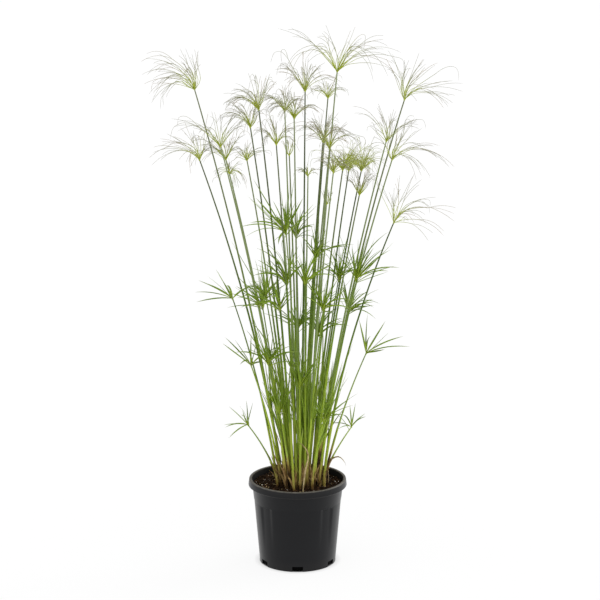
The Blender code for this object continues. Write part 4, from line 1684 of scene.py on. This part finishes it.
@dataclass
class BractHead(Head):
    """The head of a younger shoot: narrow leaf-like bracts round a small hub."""

    fullness: float
    hub_share: float = 0.60
    hub_tone: float = 0.5
    guide_width: float = 0.70
    widths: Pair = (0.22, 0.54)
    sizes: Pair = (0.80, 1.52)
    turn: float = radians(38.0)
    rise: float = 0.62
    drop: float = 0.010
    foot_width: float = 0.34
    rolls: Pair = (0.5, 1.3)

    def blades(self) -> list[Blade]:
        """The blades: each of the frame's, and others between them that stand more upright.

        Returns:
            The blades, the frame's own ones first.
        """
        guides = self.skeleton.rays
        made = [self.blade(guide.points, guide.width * self.guide_width) for guide in guides]
        while len(made) < round(len(guides) * self.fullness):
            guide = guides[len(made) % len(guides)]
            width = guide.width * self.rng.uniform(*self.widths)
            made.append(self.blade(self.turned(guide.points), width))
        return made

    def blade(self, points: Sequence[Vector], width: float) -> Blade:
        """One blade along a few points."""
        tone = self.rng.random()
        return Blade(Course(points), width, tone, self.twist(), foot_width=self.foot_width)

    def twist(self) -> float:
        """A blade's twist, to one side or the other."""
        return self.rng.uniform(*self.rolls) * self.rng.choice((-1.0, 1.0))

    def turned(self, points: Sequence[Vector]) -> list[Vector]:
        """A blade's points turned round the hub, raised, resized and lowered along the culm.

        Args:
            points: the points, from the hub to the tip.

        Returns:
            The new points.
        """
        hub = self.skeleton.hub
        foot = hub + (self.skeleton.culm[-2] - hub).normalized() * self.rng.uniform(0.0, self.drop)
        turn = Quaternion(*self.swing(self.turn))
        upright = (points[-1] - hub).rotation_difference(UP)
        raised = Quaternion().slerp(upright, self.rng.uniform(0.0, self.rise))
        size = self.rng.uniform(*self.sizes)
        return [foot + (raised @ turn) @ (point - hub) * size for point in points]

    def grow(self, growth: Growth) -> None:
        """Grow the hub and its blades into a shoot's mesh.

        Args:
            growth: the shoot's mesh.
        """
        batch = self.hub(self.hub_share, self.hub_tone)
        for blade in self.blades():
            blade.grow(batch)
        growth.take(batch)


@dataclass
class YoungLeaves:
    """Slender young leaves that leave a shoot's sheaths and stand close to its stem."""

    stem: Course
    count: int
    rng: random.Random
    starts: Pair = (0.05, 0.14)
    lengths: Pair = (0.08, 0.20)
    reaches: Pair = (0.006, 0.034)
    widths: Pair = (0.0020, 0.0046)
    part: Part = Part.LEAF
    stops: tuple[float, ...] = (0.0, 0.3, 0.65, 1.0)
    outward_curve: float = 1.7
    roll: float = 1.5
    rings: int = 12
    foot_width: float = 0.8

    def grow(self, growth: Growth) -> None:
        """Grow the leaves into a shoot's mesh.

        Args:
            growth: the shoot's mesh.
        """
        for _ in range(self.count):
            away = any_side(self.rng) * self.rng.uniform(*self.reaches)
            start = self.rng.uniform(*self.starts)
            length = self.rng.uniform(*self.lengths)
            points = []
            for stop in self.stops:
                share = (start + length * stop) / self.stem.length
                points.append(self.stem.at(share) + away * stop ** self.outward_curve)
            width = self.rng.uniform(*self.widths)
            roll = self.rng.uniform(-self.roll, self.roll)
            blade = Blade(Course(points), width, self.rng.random(), roll, self.part, self.rings,
                          foot_width=self.foot_width)
            blade.grow(growth)


@dataclass
class DryScales(YoungLeaves):
    """Short papery remains of old sheaths round the foot of a shoot."""

    starts: Pair = (0.001, 0.012)
    lengths: Pair = (0.024, 0.075)
    reaches: Pair = (0.006, 0.019)
    widths: Pair = (0.0026, 0.0056)
    part: Part = Part.SCALE


@dataclass
class Shoots:
    """All shoots of one kind, each regrown along the lines of its own node."""

    kind: str
    count: int
    slot: str
    seed: int
    culm_rings: int
    leaves: int
    scales: int = 3

    def finishes(self) -> list[Finish]:
        """The finishes of a shoot, in the order of its parts."""
        raise NotImplementedError

    def crown(self, number: int, skeleton: Skeleton, rng: random.Random) -> Head:
        """The head of the shoot of a number."""
        raise NotImplementedError

    def leaf_count(self, number: int) -> int:
        """How many young leaves the shoot of a number has."""
        return self.leaves

    def build(self) -> None:
        """Build every shoot of the kind and dress it."""
        finishes = materials(*self.finishes())
        for number in range(1, self.count + 1):
            node = f"{self.kind}_{number:02d}"
            rng = random.Random(self.seed + number)
            skeleton = Skeleton.of(node)
            growth = Growth()
            stem = Culm(skeleton, rng.random(), rng, self.culm_rings).grow(growth)
            self.crown(number, skeleton, rng).grow(growth)
            YoungLeaves(stem, self.leaf_count(number), rng).grow(growth)
            DryScales(stem, self.scales, rng).grow(growth)
            hand_over(growth.finish(f"{node}_grown", finishes), node)


@dataclass
class TallShoots(Shoots):
    """The tall shoots with thread umbels."""

    kind: str = "tall_shoot"
    count: int = 28
    slot: str = "culm_green"
    seed: int = 100
    culm_rings: int = 34
    leaves: int = 2
    full: Numbers = (4, 7, 8, 9, 10, 11, 13, 17, 18, 19, 22)
    dense: Numbers = (20, 21, 23)
    small: Numbers = (5, 6, 14, 16)
    buds: Numbers = (12, 28)

    def finishes(self) -> list[Finish]:
        """The finishes of a shoot, in the order of its parts."""
        return [CulmSkin(), SheathSkin(), ThreadSkin(), LeafSkin(), ScaleSkin()]

    def crown(self, number: int, skeleton: Skeleton, rng: random.Random) -> Umbel:
        """The umbel of the shoot of a number."""
        return Umbel(skeleton, rng, self.form(number).value)

    def form(self, number: int) -> HeadForm:
        """The form of a shoot's umbel.

        Args:
            number: the shoot's number.

        Returns:
            Its form.
        """
        for form, numbers in ((HeadForm.FULL, self.full), (HeadForm.DENSE, self.dense),
                              (HeadForm.SMALL, self.small), (HeadForm.BUD, self.buds)):
            if number in numbers:
                return form
        return HeadForm.OPEN


@dataclass
class LeafyShoots(Shoots):
    """The younger shoots with leaf-like bracts, a few of them sparse."""

    kind: str = "leafy_shoot"
    count: int = 23
    slot: str = "leaf_green"
    seed: int = 200
    culm_rings: int = 24
    leaves: int = 5
    sparse: Numbers = (1, 14, 15, 16, 17)
    sparse_fullness: float = 1.2
    full_fullness: float = 4.0

    def finishes(self) -> list[Finish]:
        """The finishes of a shoot, in the order of its parts."""
        return [YoungCulmSkin(), SheathSkin("young_sheath_skin"), BladeSkin(),
                LeafSkin("young_leaf_skin"), ScaleSkin("young_scale_skin")]

    def crown(self, number: int, skeleton: Skeleton, rng: random.Random) -> BractHead:
        """The head of the shoot of a number."""
        fullness = self.sparse_fullness if number in self.sparse else self.full_fullness
        return BractHead(skeleton, rng, fullness)

    def leaf_count(self, number: int) -> int:
        """How many young leaves the shoot of a number has: none where it is sparse."""
        return 0 if number in self.sparse else self.leaves


@dataclass
class DryLeaves:
    """The dead leaves among the feet of the shoots."""

    count: int = 3
    width: float = 0.0036
    tone: float = 0.5
    roll: float = 1.1
    rings: int = 16
    widest: float = 0.35

    def build(self) -> None:
        """Build the dry leaves and dress them."""
        finishes = materials(StrawSkin("dry_leaf_skin"))
        for number in range(1, self.count + 1):
            node = f"dry_leaf_{number:02d}"
            growth = Growth()
            course = Course(self.line(node))
            blade = Blade(
                course, self.width, self.tone, self.roll, Part.CULM, self.rings, self.widest)
            blade.grow(growth)
            hand_over(growth.finish(f"{node}_curled", finishes), node)

    @staticmethod
    def line(node: str) -> list[Vector]:
        """The middle line of a dry leaf of the frame, from its foot to its tip.

        Args:
            node: the leaf's node.

        Returns:
            The line's points.
        """
        mesh, foot = read_solid(node)
        rings = Skeleton.climb(foot, set())
        points = [Skeleton.middle(ring) for ring in rings]
        reached = {vert for ring in rings for vert in ring}
        points += [vert.co.copy() for vert in mesh.verts if vert not in reached]
        mesh.free()
        return points


@dataclass(frozen=True)
class Softbox:
    """A soft light, by its azimuth from the front, its elevation and its size, all in degrees."""

    name: str
    azimuth: float
    elevation: float
    strength: float
    size: float

    def hang(self) -> None:
        """Put the light into the scene."""
        lamp = bpy.data.lights.new(self.name, "SUN")
        lamp.energy = self.strength
        lamp.angle = radians(self.size)
        turn = radians(self.azimuth)
        rise = radians(self.elevation)
        level = cos(rise)
        source = Vector((sin(turn) * level, -cos(turn) * level, sin(rise)))
        holder = bpy.data.objects.new(self.name, lamp)
        holder.rotation_euler = source.to_track_quat("Z", "Y").to_euler()
        bpy.context.scene.collection.objects.link(holder)


@dataclass
class Studio:
    """The floor, the soft light and the camera of the photograph."""

    floor_half: float = 60.0
    camera_place: Vector = field(default_factory=lambda: Vector((0.0046, -4.0, 1.46)))
    camera_pitch: float = radians(13.25)
    lens: float = 130.2
    sensor: float = 36.0
    sky: float = 0.80
    softboxes: tuple[Softbox, ...] = (
        Softbox("left_softbox", -55.0, 42.0, 0.55, 80.0),
        Softbox("right_softbox", 65.0, 36.0, 0.40, 80.0),
        Softbox("overhead_softbox", 10.0, 78.0, 0.95, 80.0),
        Softbox("rim_softbox", 120.0, 24.0, 1.70, 44.0),
    )

    def lay_floor(self) -> None:
        """Lay the pale floor."""
        growth = Growth()
        bmesh.ops.create_grid(growth.mesh, x_segments=8, y_segments=8, size=self.floor_half)
        floor = growth.finish("studio_floor", materials(StudioWhite()), closed=False)

    def light(self) -> None:
        """Set the sky and hang the soft lights."""
        world = bpy.data.worlds.new("soft_sky")
        world.use_nodes = True
        sky = world.node_tree.nodes["Background"]
        sky.inputs["Color"].default_value = (1.0, 1.0, 1.0, 1.0)
        sky.inputs["Strength"].default_value = self.sky
        bpy.context.scene.world = world
        for softbox in self.softboxes:
            softbox.hang()

    def place_camera(self) -> None:
        """Place the camera where the photograph was taken from."""
        lens = bpy.data.cameras.new("photo_camera")
        lens.lens = self.lens
        lens.sensor_width = self.sensor
        lens.sensor_fit = "HORIZONTAL"
        camera = bpy.data.objects.new("photo_camera", lens)
        camera.location = self.camera_place
        camera.rotation_euler = (pi / 2 - self.camera_pitch, 0.0, 0.0)
        bpy.context.scene.collection.objects.link(camera)
        bpy.context.scene.camera = camera

    def build(self) -> None:
        """Set up the whole studio."""
        self.lay_floor()
        self.light()
        self.place_camera()
        settings = bpy.context.scene.view_settings
        settings.view_transform = "Standard"
        settings.look = "None"


def main() -> None:
    """Build the studio and every piece."""
    logging.basicConfig(level=logging.INFO, format="%(message)s")
    Studio().build()
    NurseryPot().build()
    SoilBed().build()
    TallShoots().build()
    LeafyShoots().build()
    DryLeaves().build()


if __name__ == "__main__":
    main()
